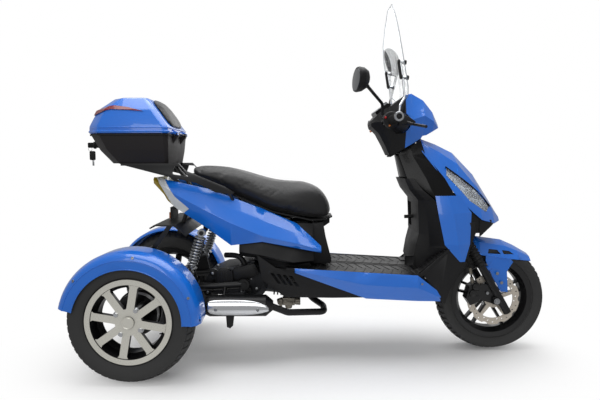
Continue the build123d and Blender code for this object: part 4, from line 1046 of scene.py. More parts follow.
@dataclass
class RoadTyre:
    """A tubeless scooter tyre: smooth carcass with a bead line, and cut tread blocks.

    The outer radius, the width, the radius of the rim's flange and the depth of the tread are
    in metres. The blocks are counted round the tyre, and a chunky tread has its blocks aslant.
    """

    name: str
    node: str
    body: str
    centre: Point
    outer_r: float
    width: float
    flange_r: float
    blocks: int
    depth: float
    chunky: bool

    def crown(self, y: float) -> float:
        """Radius of the tread's surface.

        Args:
            y: distance from the tyre's middle.

        Returns:
            The radius.
        """
        half = self.width / 2
        share = min(1.0, abs(y) / half)
        return self.outer_r - 0.0004 - self.width * 0.11 * (share / 0.84) ** 2

    def carcass(self) -> bpy.types.Object:
        """Side walls and the tread's ground, spun from half outlines.

        Returns:
            The carcass with its lining.
        """
        half = self.width / 2
        bead = half * 0.72
        wall = [
            (bead - 0.0095, self.flange_r - 0.012),
            (bead, self.flange_r - 0.012),
            (bead, self.flange_r + 0.003),
            (bead + half * 0.1, self.flange_r + 0.006),
            (bead + half * 0.12, self.flange_r + 0.0085),
            (bead + half * 0.2, self.flange_r + 0.017),
            (half * 0.985, (self.outer_r * 0.45 + self.flange_r * 0.55)),
            (half * 0.995, (self.outer_r * 0.6 + self.flange_r * 0.4)),
            (half * 0.95, (self.outer_r * 0.72 + self.flange_r * 0.28)),
        ]
        shares = (0.86, 0.7, 0.45, 0.2, 0.0)
        ground = [(half * s, self.crown(half * s) - self.depth) for s in shares]
        outer = wall + ground
        profile = outer + [(-a, r) for a, r in outer[-2::-1]]
        inner = [(a * 0.84, r - 0.009) for a, r in outer[5:]]
        lining = inner + [(-a, r) for a, r in inner[-2::-1]]
        ring = profile + lining[::-1] + [profile[0]]
        return spun(ring, self.centre, "Y", 96)

    def tread(self) -> bpy.types.Object:
        """Tread blocks, modelled once for one pitch and copied round.

        Returns:
            All the blocks as one piece.
        """
        half = self.width / 2
        pitch = 2 * math.pi / self.blocks
        if self.chunky:
            # Each block's corners: turn in pitches, share of the half width.
            table = (
                ((0.06, 0.52), (0.62, 0.46), (0.74, 0.9), (0.16, 0.93)),
                ((0.3, 0.06), (0.86, 0.0), (0.74, 0.4), (0.16, 0.44)),
            )
        else:
            table = (
                ((0.1, 0.58), (0.8, 0.54), (0.9, 0.86), (0.2, 0.89)),
                ((0.02, 0.06), (0.98, 0.06), (0.98, 0.48), (0.02, 0.52)),
            )
        mesh = bmesh.new()
        for side in (-1, 1):
            shift = 0.5 if side > 0 else 0.0
            for outline in table:
                low, high = [], []
                centre_y = sum(share for _, share in outline) / len(outline)
                mid_turn = sum(turn for turn, _ in outline) / len(outline)
                for turn, share in outline:
                    a = (turn + shift) * pitch
                    y = side * share * half
                    radius = self.crown(y)
                    a_in = (mid_turn + shift + (turn - mid_turn) * 0.93) * pitch
                    y_in = side * half * (centre_y + (share - centre_y) * 0.93)
                    low.append(mesh.verts.new(self.at(a, y, radius - self.depth - 0.001)))
                    high.append(mesh.verts.new(self.at(a_in, y_in, radius)))
                mesh.faces.new(high)
                for i in range(len(low)):
                    j = (i + 1) % len(low)
                    mesh.faces.new((low[i], low[j], high[j], high[i]))
        bmesh.ops.recalc_face_normals(mesh, faces=mesh.faces)
        for face in mesh.faces:
            out = face.calc_center_median() - Vector(self.centre)
            radial = Vector((out.x, 0, out.z)).normalized()
            if len(face.verts) == 4 and face.normal.dot(radial) < -0.5:
                face.normal_flip()
        data = bpy.data.meshes.new("block")
        mesh.to_mesh(data)
        mesh.free()
        one = placed("block", data)
        hub = Matrix.Translation(self.centre)
        turns = [
            hub @ Matrix.Rotation(pitch * n, 4, "Y") @ hub.inverted() for n in range(1, self.blocks)
        ]
        return join([one] + copy_at(one, turns), "tread")

    def at(self, angle: float, y: float, radius: float) -> Point:
        """A point on the tyre by its turn, its place across and its radius."""
        x, cy, z = self.centre
        return (x + radius * math.sin(angle), cy + y, z + radius * math.cos(angle))

    def build(self) -> None:
        """Builds the tyre in place of its solid."""
        tyre = join([self.carcass(), self.tread()], self.name)
        done(tyre, self.name, self.body, TYRE_RUBBER, 32)
        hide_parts(self.node)


@dataclass
class RearWheelTrim:
    """Lug nuts, centre cap, valve and two-tone rim of one rear wheel, in millimetres."""

    side: Side
    face_y: float = 402.0
    nut_circle: float = 55.0
    nuts: int = 4
    first_nut_degrees: float = 12.0
    valve_degrees: float = -20.0

    def build(self) -> None:
        """Builds the trim and turns the rim's face to two finishes."""
        word = self.side.name.lower()
        body = f"rear_wheel_{word}"
        s = self.side.value
        way = Vector((0, s, 0))
        parts = []
        for n in range(self.nuts):
            a = math.radians(360 / self.nuts * (n + 0.5) + self.first_nut_degrees)
            foot = self.spot(self.nut_circle, a, self.face_y - 5.0)
            parts.append(hex_bolt(foot, way, 0.017, 0.011))
        done(parts, f"lug_nuts_{word}", body, CHROME, 30)
        profile = [
            (0.0, 0.0), (0.0035, 0.0), (0.0034, 0.019), (0.0025, 0.0205), (0.0035, 0.0225),
            (0.0, 0.0236),
        ]
        cap = spun(profile, (0, 0, 0), "Z", 40)
        cap.data.transform(way.to_track_quat("Z", "X").to_matrix().to_4x4())
        cap.data.transform(Matrix.Translation(self.spot(0.0, 0.0, self.face_y + 6.0)))
        done(cap, f"centre_cap_{word}", body, TURNED_ALLOY, 30)
        a = math.radians(self.valve_degrees)
        valve = cylinder(self.spot(146, a, 384), self.spot(128, a, 404), 0.0032, 0.0026, 12)
        done(valve, f"tyre_valve_{word}", body, SOFT_RUBBER)
        recoat(f"rear_rim_{word}", two_tone_rim(self.face_y))

    def spot(self, radius: float, angle: float, y: float) -> Point:
        """A point by its radius and turn about the hub and its distance from the middle."""
        x, z = radius * math.cos(angle), REAR_HUB_Z + radius * math.sin(angle)
        return rear_mm(x, self.side.value * y, z)


def two_tone_rim(face_y: float) -> bpy.types.Material:
    """Cast wheel: black lacquer all over, with the outer faces turned bright on the lathe.

    Args:
        face_y: distance of the turned faces from the middle plane, in millimetres.

    Returns:
        The material, built once for both wheels.
    """
    name = "lathe_turned_cast_wheel"
    made = bpy.data.materials.get(name)
    if made:
        return made
    material, tree, shader = blank_material(name)
    coordinates = add_node(tree, "ShaderNodeTexCoord")
    place = add_node(tree, "ShaderNodeSeparateXYZ", inputs={0: coordinates.outputs["Object"]})
    facing = add_node(tree, "ShaderNodeSeparateXYZ", inputs={0: coordinates.outputs["Normal"]})
    outward = add_node(tree, "ShaderNodeMath", {"operation": "ABSOLUTE"}, {0: facing.outputs["Y"]})
    beyond = add_node(tree, "ShaderNodeMath", {"operation": "ABSOLUTE"}, {0: place.outputs["Y"]})
    flat = add_node(
        tree,
        "ShaderNodeMapRange",
        inputs={"Value": outward.outputs[0], "From Min": 0.7, "From Max": 0.8},
    )
    near = add_node(
        tree,
        "ShaderNodeMapRange",
        inputs={
            "Value": beyond.outputs[0],
            "From Min": face_y / 1000 - 0.003,
            "From Max": face_y / 1000 - 0.002,
        },
    )
    turned = add_node(
        tree,
        "ShaderNodeMath",
        {"operation": "MULTIPLY"},
        {0: flat.outputs["Result"], 1: near.outputs["Result"]},
    )
    mix = add_node(
        tree,
        "ShaderNodeMix",
        {"data_type": "RGBA"},
        {0: turned.outputs[0], 6: linear("#08080a"), 7: linear("#e4e2d8")},
    )
    tree.links.new(mix.outputs[2], shader.inputs["Base Color"])
    metal = add_node(
        tree, "ShaderNodeMath", {"operation": "MULTIPLY"}, {0: turned.outputs[0], 1: 0.45}
    )
    tree.links.new(metal.outputs[0], shader.inputs["Metallic"])
    rings = add_node(
        tree,
        "ShaderNodeTexNoise",
        inputs={"Vector": coordinates.outputs["Object"], "Scale": 900.0, "Detail": 2.0},
    )
    rough = add_node(
        tree,
        "ShaderNodeMapRange",
        inputs={"Value": rings.outputs["Fac"], "To Min": 0.22, "To Max": 0.36},
    )
    tree.links.new(rough.outputs["Result"], shader.inputs["Roughness"])
    return material


# Saddle


@dataclass
class Saddle:
    """Two-level saddle of foam under vinyl, swollen from sections in millimetres."""

    rows: tuple[tuple[float, float, float, float], ...] = (
        # x, underside z, top z, half width
        (188, 816, 840, 94),
        (220, 795, 843, 112),
        (300, 753, 838, 126),
        (393, 718, 820, 134),
        (470, 684, 796, 138),
        (546, 652, 773, 142),
        (630, 634, 766, 138),
        (709, 620, 766, 122),
        (770, 617, 732, 102),
        (800, 624, 668, 80),
    )
    shares: tuple[Pair, ...] = (
        # share of the half width, share of the height
        (0.0, 0.0), (0.7, 0.0), (0.9, 0.06), (0.98, 0.24), (1.0, 0.42), (0.97, 0.62),
        (0.88, 0.82), (0.7, 0.94), (0.42, 1.0), (0.0, 1.0),
    )
    cap: float = 0.008

    def section(self, x: float, low: float, high: float, half: float) -> list[Point]:
        """One closed outline across the saddle, crowned on top and tucked under.

        Args:
            x: place along the saddle.
            low: height of the underside.
            high: height of the top.
            half: half the width.

        Returns:
            The outline's points in metres.
        """
        right = [(-half * a, low + (high - low) * b) for a, b in self.shares]
        left = [(half * a, low + (high - low) * b) for a, b in self.shares[-2:0:-1]]
        return [rear_mm(x, y, z) for y, z in right + left]

    def build(self) -> None:
        """Builds the cushion in place of its solid."""
        cushion = lofted([self.section(*row) for row in self.rows])
        modify(cushion, "SUBSURF", levels=2, render_levels=2)
        puffed(cushion, 0.006, self.cap, 3.0)
        modify(cushion, "SUBSURF", levels=1, render_levels=1)
        done(cushion, "saddle_cushion", "seat", SADDLE_VINYL, 60)
        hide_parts("seat_cushion")


# Frames of the cloth run, enough for the vinyl to fill out.
CLOTH_FRAMES = 14


def puffed(piece: bpy.types.Object, voxel: float, cap: float, pressure: float) -> None:
    """Remeshes a closed form evenly and swells it as stuffed cloth.

    Args:
        piece: the closed form, changed in place.
        voxel: size of the remeshing, in metres.
        cap: the furthest that a point may move, in metres.
        pressure: the cloth's inner pressure.
    """
    modify(piece, "REMESH", mode="VOXEL", voxel_size=voxel)
    rest = [v.co.copy() for v in piece.data.vertices]
    only(piece)
    cloth = piece.modifiers.new("cloth", "CLOTH")
    cloth.settings.use_pressure = True
    cloth.settings.uniform_pressure_force = pressure
    cloth.settings.effector_weights.gravity = 0
    cloth.settings.quality = 4
    scene = bpy.context.scene
    for step in range(1, CLOTH_FRAMES + 1):
        scene.frame_set(step)
    swollen = piece.evaluated_get(bpy.context.evaluated_depsgraph_get())
    moved = [v.co.copy() for v in swollen.data.vertices]
    piece.modifiers.remove(cloth)
    scene.frame_set(1)
    for vertex, old, new in zip(piece.data.vertices, rest, moved):
        shift = new - old
        if shift.length > cap:
            shift = shift.normalized() * cap
        vertex.co = old + shift
    piece.data.update()


@dataclass
class CaseTrim:
    """Backrest pad, keys and rolled lips of the top case, in millimetres."""

    seam_z: float = 982.0
    key_drop: float = 44.0
    # The pad's rings: depth over the lid's slope, and how far the outline draws in.
    pad_rings: tuple[Pair, ...] = ((0, 10), (4, 2), (10, 0), (16, 8), (19, 24), (20, 46))
    pad_corners: int = 28
    # How square the pad's outline is: 1 is an oval, 0 a box.
    pad_power: float = 0.42

    def build(self) -> None:
        """Builds the pad and the small parts."""
        self.pad()
        self.keys()
        self.rims()

    def pad(self) -> None:
        """The padded backrest on the lid's front slope, crowned and pulled in at its edge."""
        z = self.seam_z
        foot, head = Vector((114, 0, z + 28)), Vector((26, 0, z + 150))
        along = head - foot
        out = Vector((along.z, 0, -along.x)).normalized()
        rings = []
        for depth, inset in self.pad_rings:
            ring = []
            for n in range(self.pad_corners):
                a = 2 * math.pi * n / self.pad_corners
                c, s = math.cos(a), math.sin(a)
                u = math.copysign(abs(c) ** self.pad_power, c)
                v = math.copysign(abs(s) ** self.pad_power, s)
                half = (118 - 20 * (v * 0.5 + 0.5)) - inset
                spot = foot + along * (0.5 + 0.5 * v * (1 - inset / 74)) + out * (depth - 6)
                ring.append(rear_mm(spot.x, half * u, spot.z))
            rings.append(ring)
        pad = lofted(rings)
        modify(pad, "SUBSURF", levels=2, render_levels=2)
        puffed(pad, 0.005, 0.004, 2.0)
        modify(pad, "SUBSURF", levels=1, render_levels=1)
        done(pad, "backrest_cushion", "case_lid", SADDLE_VINYL, 60)
        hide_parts("backrest_pad")

    def keys(self) -> None:
        """The key in its barrel and the spare key hanging from it with a black fob."""
        z = self.seam_z - self.key_drop
        recoat("topcase_lock", GLOSS_ABS.build())
        head = [
            block(rear_mm(-288, -9, z - 11), rear_mm(-282, 9, z + 11), 0.0025),
            cylinder(rear_mm(-262, 0, z), rear_mm(-254, 0, z), 0.0165, sides=32),
        ]
        fob = block(rear_mm(-284, -5.5, z - 67), rear_mm(-257, 5.5, z - 26), 0.0052)
        done(head + [fob], "key_heads", "chassis", SOFT_RUBBER, 40)
        profile = [(-0.8, 8.2), (0.0, 7.4), (0.8, 8.2), (0.0, 9.0), (-0.8, 8.2)]
        ring = spun(profile, (0, 0, 0), "Y", 28)
        ring.data.transform(Matrix.Scale(0.001, 4))
        ring.data.transform(Matrix.Translation(rear_mm(-280, 0, z - 18)))
        blade = block(rear_mm(-272, -1.2, z - 92), rear_mm(-264, 1.2, z - 64), 0.0004)
        done([ring, blade], "key_blade", "chassis", BRUSHED_STEEL, 40)

    def rims(self) -> None:
        """The lid's rolled lip, a bead above it and the base's lip below the seam."""
        rows = (
            # name, body, finish, slot, height over the seam, outward, radius
            ("lid_lip", "case_lid", BLUE_ABS, "blue_paint", 8.0, 0.5, 4.6),
            ("lid_bead", "case_lid", BLUE_ABS, "blue_paint", 24.0, -2.2, 3.0),
            ("base_lip", "chassis", GRAINED_PP, "black_plastic", -5.5, 0.6, 3.6),
        )
        for name, body, finish, slot, rise, out, radius in rows:
            a, b, h, c = (-226, 117, 196, 54) if rise > 0 else (-222, 114, 194, 52)
            outline = self.loop(a - out, b + out, h + out, c)
            points = [rear_mm(x, y, self.seam_z + rise) for x, y in outline]
            ring = bent_tube(points, radius / 1000, 3, smooth=False)
            done(ring, name, body, finish, 50)

    @staticmethod
    def loop(rear: float, front: float, half: float, corner: float) -> list[Pair]:
        """The case's outline seen from above, its clipped corners eased, closed on itself.

        Args:
            rear: X of the rear side.
            front: X of the front side.
            half: half the width.
            corner: how far a rear corner is clipped. The front ones are clipped by a third.

        Returns:
            The outline's (x, y) points.
        """
        f = corner / 3
        corners = [
            (rear + corner, -half), (front - f, -half), (front, -half + f), (front, half - f),
            (front - f, half), (rear + corner, half), (rear, half - corner), (rear, -half + corner),
        ]
        points = []
        for i, (x, y) in enumerate(corners):
            before, after = corners[i - 1], corners[(i + 1) % len(corners)]
            for other, share in ((before, 0.16), (before, 0.04), (after, 0.04), (after, 0.16)):
                reach = min(12.0, 90 * share) / math.hypot(other[0] - x, other[1] - y)
                inward = math.copysign(0.9 if share < 0.1 else 0.0, x + 54)
                points.append((x + (other[0] - x) * reach - inward, y + (other[1] - y) * reach))
        return points + [points[0]]


# Panels


@dataclass
class SoftPanels:
    """Moulded and pressed pieces whose creases are rounded, made from the solids' own meshes.

    Each row of the table is a node, its body, its finish and the width of its creases.
    """

    table: tuple[tuple[str, str, Finish, float], ...]
    # Bends in degrees: flatter ones stay as they are, and sharper ones get a fine edge only.
    flattest: float = 7.0
    sharpest: float = 66.0
    fine_edge: float = 0.0011

    def build(self) -> None:
        """Builds every piece of the table in place of its solid."""
        for name, body, finish, width in self.table:
            piece = self.softened(name, width)
            done(piece, f"{name}_moulding", body, finish, 36)
            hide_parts(name)

    def softened(self, name: str, width: float) -> bpy.types.Object:
        """A welded copy of a solid with its blunt creases rounded.

        Args:
            name: the solid's node.
            width: width of the rounding, in metres.

        Returns:
            The copy.
        """
        piece = solid_copy(name)
        only(piece)
        bpy.ops.object.mode_set(mode="EDIT")
        bpy.ops.mesh.select_all(action="SELECT")
        bpy.ops.mesh.dissolve_limited(angle_limit=math.radians(1.0))
        close_edit()
        mesh = bmesh.new()
        mesh.from_mesh(piece.data)
        weight = mesh.edges.layers.float.new("bevel_weight_edge")
        for edge in mesh.edges:
            if len(edge.link_faces) == 2 and edge.calc_length() > width * 0.7:
                bend = math.degrees(edge.calc_face_angle(0.0))
                if self.flattest < bend < self.sharpest:
                    edge[weight] = 1.0
                elif bend >= self.sharpest:
                    edge[weight] = self.fine_edge / width
        mesh.to_mesh(piece.data)
        mesh.free()
        settings = {"segments": 3, "limit_method": "WEIGHT", "use_clamp_overlap": True}
        return modify(piece, "BEVEL", width=width, **settings)


def solid_copy(name: str) -> bpy.types.Object:
    """A free, welded copy of a solid's mesh, to be cut or rounded.

    Args:
        name: the solid's node.

    Returns:
        The copy.
    """
    node = frame["nodes"][name]
    piece = node.copy()
    piece.data = node.data.copy()
    piece.parent = None
    for key in list(piece.keys()):
        del piece[key]
    bpy.context.scene.collection.objects.link(piece)
    only(piece)
    bpy.ops.object.mode_set(mode="EDIT")
    bpy.ops.mesh.select_all(action="SELECT")
    bpy.ops.mesh.remove_doubles(threshold=0.00002)
    close_edit()
    return piece


# Front


@dataclass
class DiscBrake:
    """Drilled front brake disc, made from the solid's own mesh, in millimetres."""

    holes: int = 10
    hole_radius: float = 3.2
    # The three rings of holes: radius of the ring, turn in degrees.
    rings: tuple[Pair, ...] = ((108, 18), (101, 6), (95, -6))

    def build(self) -> None:
        """Drills the disc in place of its solid."""
        disc = solid_copy("front_brake_disc")
        drills = []
        for radius, phase in self.rings:
            for n in range(self.holes):
                a = 2 * math.pi * (n / self.holes) + math.radians(phase)
                x, z = radius * math.cos(a), FRONT_HUB_Z + radius * math.sin(a)
                bpy.ops.mesh.primitive_cylinder_add(
                    vertices=12, radius=self.hole_radius / 1000, depth=0.03
                )
                drill = bpy.context.object
                drill.data.transform(Matrix.Rotation(math.pi / 2, 4, "X"))
                drill.data.transform(Matrix.Translation(front_mm(x, -66, z)))
                drills.append(drill)
        cutter = join(drills, "drills")
        modify(disc, "BOOLEAN", operation="DIFFERENCE", object=cutter, solver="EXACT")
        bpy.data.objects.remove(cutter)
        done(disc, "drilled_brake_disc", "front_wheel", DISC_STEEL, 30)
        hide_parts("front_brake_disc")


# Fasteners


@dataclass
class Fasteners:
    """Bolts or screws of one body in one finish.

    Each row is a place on the surface, the way it stands out, half the head's width and its
    height, in millimetres, and whether the head is a hexagon.
    """

    name: str
    body: str
    finish: Finish
    slot: str
    frame_of: Callable[[float, float, float], Point]
    rows: Sequence[BoltRow]

    def build(self) -> None:
        """Builds them as one object."""
        parts = []
        for place, way, radius, height, hexagon in self.rows:
            spot = self.frame_of(*place)
            if hexagon:
                parts.append(hex_bolt(spot, Vector(way), radius * 0.00173, height / 1000))
            else:
                parts.append(cap_screw(spot, Vector(way), radius / 1000, height / 1000))
        done(parts, self.name, self.body, self.finish, 30)


def fender_rows() -> list[BoltRow]:
    """Three screws on the shoulder of each rear mudguard.

    Returns:
        Their rows for Fasteners.
    """
    rows = []
    radius = 256.0
    for side in Side:
        for degrees in (23, 83, 139):
            a = math.radians(degrees)
            place = (radius * math.cos(a), side.value * 425.5, REAR_HUB_Z + radius * math.sin(a))
            way = (0.55 * math.cos(a), side.value * 0.83, 0.55 * math.sin(a))
            rows.append((place, way, 5.5, 4.0, False))
    return rows


@dataclass
class FenderBeads:
    """Rolled bead along the outer edge of each rear mudguard, and a second line above it.

    The beads run from the first angle to the last one about the hub, in degrees.
    """

    first: float = -2.0
    last: float = 167.0
    steps: int = 40
    # radius of the line, distance from the middle plane, radius of the bead
    lines: tuple[Point, ...] = ((212.5, 431.5, 2.6), (247.0, 431.0, 1.8))

    def build(self) -> None:
        """Builds the beads of both mudguards as one object."""
        parts = []
        for side in Side:
            for radius, y, thick in self.lines:
                points = []
                for n in range(self.steps + 1):
                    a = math.radians(self.first + (self.last - self.first) * n / self.steps)
                    x, z = radius * math.cos(a), REAR_HUB_Z + radius * math.sin(a)
                    points.append(rear_mm(x, side.value * y, z))
                parts.append(bent_tube(points, thick / 1000, 2, smooth=False))
        done(parts, "fender_beads", "chassis", BLUE_ABS, 50)


# Engine


@dataclass
class EngineDress:
    """What shows on the casting: ribbed belt case, air filter, carburettor and bolts."""

    def build(self) -> None:
        """Builds the pieces."""
        self.belt_case()
        self.filter_box()
        self.carburettor()
        Fasteners("engine_bolts", "chassis", BRUSHED_STEEL, "steel", rear_mm, self.bolts()).build()

    def belt_case(self) -> None:
        """Black cover over the belt drive with cast ribs, and three round bosses."""
        outline = [
            (299, 388), (318, 404), (350, 404), (371, 389), (374, 347), (345, 322), (308, 320),
            (296, 340),
        ]
        parts = [side_plate([rear_xz(x, z) for x, z in outline], -0.149, -0.127, 0.003)]
        for n in range(6):
            x = 308 + n * 10.5
            rib = [(x, 330), (x + 4, 330), (x + 10, 396), (x + 6, 396)]
            parts.append(side_plate([rear_xz(a, b) for a, b in rib], -0.1535, -0.148, 0.0008))
        for x, z, r in ((285, 383, 17), (262, 300, 19), (437, 306, 14)):
            parts.append(cylinder(rear_mm(x, -112, z), rear_mm(x, -140, z), r / 1000, sides=28))
            cap = cylinder(rear_mm(x, -139, z), rear_mm(x, -146, z), r * 0.55 / 1000, sides=20)
            parts.append(cap)
        done(parts, "belt_case_cover", "chassis", DARK_CASTING, 34)

    def filter_box(self) -> None:
        """Air filter box above the crankcase, with its lid and its intake tube."""
        outline = [
            (366, 386), (374, 402), (464, 424), (484, 388), (473, 366), (386, 338), (366, 366),
        ]
        parts = [side_plate([rear_xz(x, z) for x, z in outline], -0.139, -0.066, 0.004)]
        lid = [(372, 384), (380, 396), (460, 416), (476, 388), (468, 372), (390, 346), (374, 366)]
        parts.append(side_plate([rear_xz(x, z) for x, z in lid], -0.143, -0.138, 0.0015))
        snorkel = [(420, -100, 408), (410, -98, 440), (372, -84, 452), (330, -60, 446)]
        parts.append(bent_tube([rear_mm(*spot) for spot in snorkel], 0.012, 5))
        done(parts, "air_filter_box", "chassis", GRAINED_PP, 34)

    def carburettor(self) -> None:
        """Carburettor beside the cylinder, below the floor's side panel."""
        parts = [
            block(rear_mm(584, -108, 228), rear_mm(640, -72, 262), 0.004),
            cylinder(rear_mm(612, -90, 232), rear_mm(612, -90, 212), 0.019, 0.014, 28),
            cylinder(rear_mm(640, -90, 246), rear_mm(664, -90, 246), 0.018, 0.02, 28),
            cylinder(rear_mm(586, -90, 246), rear_mm(562, -90, 240), 0.016, 0.013, 28),
            cylinder(rear_mm(612, -90, 260), rear_mm(612, -90, 276), 0.013, sides=24),
            cylinder(rear_mm(600, -106, 250), rear_mm(600, -114, 250), 0.007, sides=20),
            cylinder(rear_mm(626, -106, 240), rear_mm(626, -115, 240), 0.005, sides=20),
            cylinder(rear_mm(612, -74, 250), rear_mm(612, -50, 262), 0.015, sides=24),
            block(rear_mm(570, -112, 221), rear_mm(584, -104, 256), 0.001),
        ]
        done(parts, "carburettor", "chassis", ZINC_CASTING, 34)

    def bolts(self) -> list[BoltRow]:
        """Case bolts on the casting's right side.

        Returns:
            Their rows for Fasteners.
        """
        right = (0.0, -1.0, 0.0)
        spots = (
            (306, -116, 412), (448, -112, 350), (472, -112, 306), (330, -128, 304),
            (404, -116, 300), (494, -66, 386),
        )
        rows = [(spot, right, 5.0, 6.0, True) for spot in spots]
        rows.append(((285, -146, 383), right, 4.5, 4.0, True))
        rows.append(((262, -146, 300), right, 5.0, 4.0, True))
        return rows


@dataclass
class SilencerShield:
    """Plated heat shield, wrapped round the silencer and drawn to a point in front.

    The silencer's axis lies at Y and Z, and its radius is given, in millimetres.
    """

    y: float = -204.0
    z: float = 258.0
    radius: float = 46.5
    steps: int = 14
    rows: tuple[tuple[float, float, float], ...] = (
        # x, lower z, upper z
        (278, 250, 282),
        (284, 238, 287),
        (302, 230, 290),
        (338, 226, 291),
        (400, 225, 291),
        (448, 227, 289),
        (486, 232, 283),
        (516, 240, 272),
        (532, 247, 260),
    )

    def build(self) -> None:
        """Builds the shield and its two screws."""
        sections = []
        for x, low, high in self.rows:
            a0 = math.asin((low - self.z) / (self.radius + 1))
            a1 = math.asin((high - self.z) / (self.radius + 1))
            row = []
            for n in range(self.steps + 1):
                a = a0 + (a1 - a0) * n / self.steps
                lift = self.radius + 1.5 + 2.2 * math.sin(math.pi * n / self.steps) ** 0.5
                row.append(rear_mm(x, self.y - lift * math.cos(a), self.z + lift * math.sin(a)))
            sections.append(row)
        skin = lofted(sections, closed=False)
        modify(skin, "SOLIDIFY", thickness=0.0014, offset=0)
        modify(skin, "SUBSURF", levels=2, render_levels=2)
        done(skin, "silencer_heat_shield", "chassis", CHROME, 60)
        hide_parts("muffler_shield")
        rows = []
        for x, z in ((313, 254), (486, 252)):
            depth = math.sqrt(50.0**2 - (z - self.z) ** 2)
            rows.append(((x, self.y - depth, z), (0.0, -1.0, 0.0), 7.0, 3.0, False))
        Fasteners("shield_screws", "chassis", BRUSHED_STEEL, "steel", rear_mm, rows).build()


# Bars


@dataclass
class BarDetails:
    """Switches, bar ends, instrument face, screen clamps and mirror glass, in millimetres."""

    grip: Pair = (-493.0, 1036.0)
    grip_ribs: int = 14
    # Distance of the switch housings' end faces from the middle plane.
    switch_face: float = 208.0
    # Radius of the clear sheet's bow across.
    sheet_radius: float = 1330.0

    def build(self) -> None:
        """Builds the pieces."""
        self.bar_ends()
        self.housings()
        self.switches()
        self.instrument_face()
        self.screen_clamps()
        self.sheet_edge()
        self.column_seal()
        self.mirror_glass()

    def bar_ends(self) -> None:
        """A bright ring with a black middle on each bar end, and ribs on the grips."""
        x, z = self.grip
        rings, plugs, ribs = [], [], []
        end_ring = [
            (0.0, 0.009), (0.0, 0.0185), (0.004, 0.0188), (0.0065, 0.0165), (0.0065, 0.0115),
            (0.003, 0.009), (0.0, 0.009),
        ]
        low_rib = [(-0.0016, 0.0155), (-0.0008, 0.0172), (0.0008, 0.0172), (0.0016, 0.0155)]
        for side in Side:
            s = side.value
            ring = spun(end_ring, (0, 0, 0), "Y", 40)
            if s < 0:
                ring.data.transform(Matrix.Scale(-1, 4, (0, 1, 0)))
                ring.data.flip_normals()
            ring.data.transform(Matrix.Translation(front_mm(x, s * 356.5, z)))
            rings.append(ring)
            plug_ends = front_mm(x, s * 356, z), front_mm(x, s * 360.5, z)
            plugs.append(cylinder(*plug_ends, 0.0098, sides=6))
            for n in range(self.grip_ribs):
                y = 222 + n * 8.4
                rib = spun(low_rib, (0, 0, 0), "Y", 32)
                rib.data.transform(Matrix.Translation(front_mm(x, s * y, z)))
                ribs.append(rib)
        done(rings, "bar_end_rings", "steering", BRUSHED_STEEL, 40)
        done(plugs, "bar_end_plugs", "steering", SOFT_RUBBER, 30)
        done(ribs, "grip_ribs", "steering", SOFT_RUBBER, 40)

    def housings(self) -> None:
        """Switch housing of each grip, running into the bar cover with a rounded sleeve."""
        rows = (
            # distance from the middle, x, z, radius
            (84, -440, 1030, 45),
            (104, -442, 1030, 45.5),
            (122, -452, 1031, 43),
            (138, -470, 1033, 38),
            (154, -486, 1035, 34.5),
            (180, -492, 1036, 33.5),
            (204, -493, 1036, 32.5),
            (209, -493, 1036, 29),
            (210.5, -493, 1036, 20),
        )
        for side in Side:
            rings = []
            for y, x, z, radius in rows:
                ring = []
                for n in range(36):
                    a = 2 * math.pi * n / 36
                    across_x, up_z = radius * math.cos(a), radius * math.sin(a)
                    ring.append(front_mm(x + across_x, side.value * y, z + up_z))
                rings.append(ring)
            body = lofted(rings)
            arm = [
                (-470, 1050), (-446, 1058), (-420, 1046), (-392, 1026), (-398, 1012),
                (-430, 1016), (-462, 1010),
            ]
            outline = [front_xz(x, z) for x, z in arm]
            lever_arm = side_slab(side, outline, 0.160, 0.206, 0.004)
            name = f"switch_housing_{side.name.lower()}"
            done([body, lever_arm], name, "steering", GRAINED_PP, 40)

    def switches(self) -> None:
        """Red stop switch, amber start button, indicator knob and their rims."""

        def knob(
            x: float, z: float, stand: float, *radii: float, sides: int = 24
        ) -> bpy.types.Object:
            """A round knob that stands out from the right housing's end face."""
            start, end = (x, -self.switch_face, z), (x, -(self.switch_face + stand), z)
            return cylinder(front_mm(*start), front_mm(*end), *radii, sides=sides)

        red = knob(-519.5, 1043, 7, 0.0052, 0.0045)
        done(red, "stop_switch", "steering", RED_KNOB, 30)
        amber = [
            knob(-502.5, 1010, 7, 0.0046, 0.004),
            cylinder(front_mm(-514, 180, 1012), front_mm(-528, 180, 1004), 0.0056, 0.005, 24),
        ]
        done(amber, "start_buttons", "steering", AMBER_LENS, 30)
        rims = [
            knob(-519.5, 1043, 3, 0.0068, sides=28),
            knob(-502.5, 1010, 3, 0.006, sides=28),
            cylinder(front_mm(-518, 176, 1044), front_mm(-538, 178, 1048), 0.011, 0.010, 24),
        ]
        done(rims, "switch_rims", "steering", GLOSS_ABS, 30)

    def instrument_face(self) -> None:
        """Silver-grey surround with a sunk face and a dark, glossy display."""
        start, end = Vector((-538, 0, 1078)), Vector((-484, 0, 1117.5))
        along = end - start
        up = Vector((-along.z, 0, along.x)).normalized()
        angle = math.atan2(along.z, along.x)
        turn = Matrix.Rotation(-angle, 4, "Y")
        middle = (start + end) / 2 + up * 1.5
        half = along.length / 2
        low = front_mm(middle.x - half, -60, middle.z - 2)
        high = front_mm(middle.x + half, 60, middle.z + 2)
        surround = block(low, high, 0.0015, turn)
        if pick(surround, lambda centre, normal: normal.z > 0.5 and abs(normal.y) < 0.2):
            bpy.ops.mesh.inset(thickness=0.008, depth=-0.0015)
        close_edit()
        done(surround, "instrument_surround", "steering", SILVER_ABS, 30)
        low = front_mm(middle.x - half + 9, -50, middle.z - 0.8)
        high = front_mm(middle.x + half - 9, 50, middle.z + 2.0)
        glass = block(low, high, 0.0008, turn)
        done(glass, "instrument_display", "steering", GLOSS_ABS, 30)

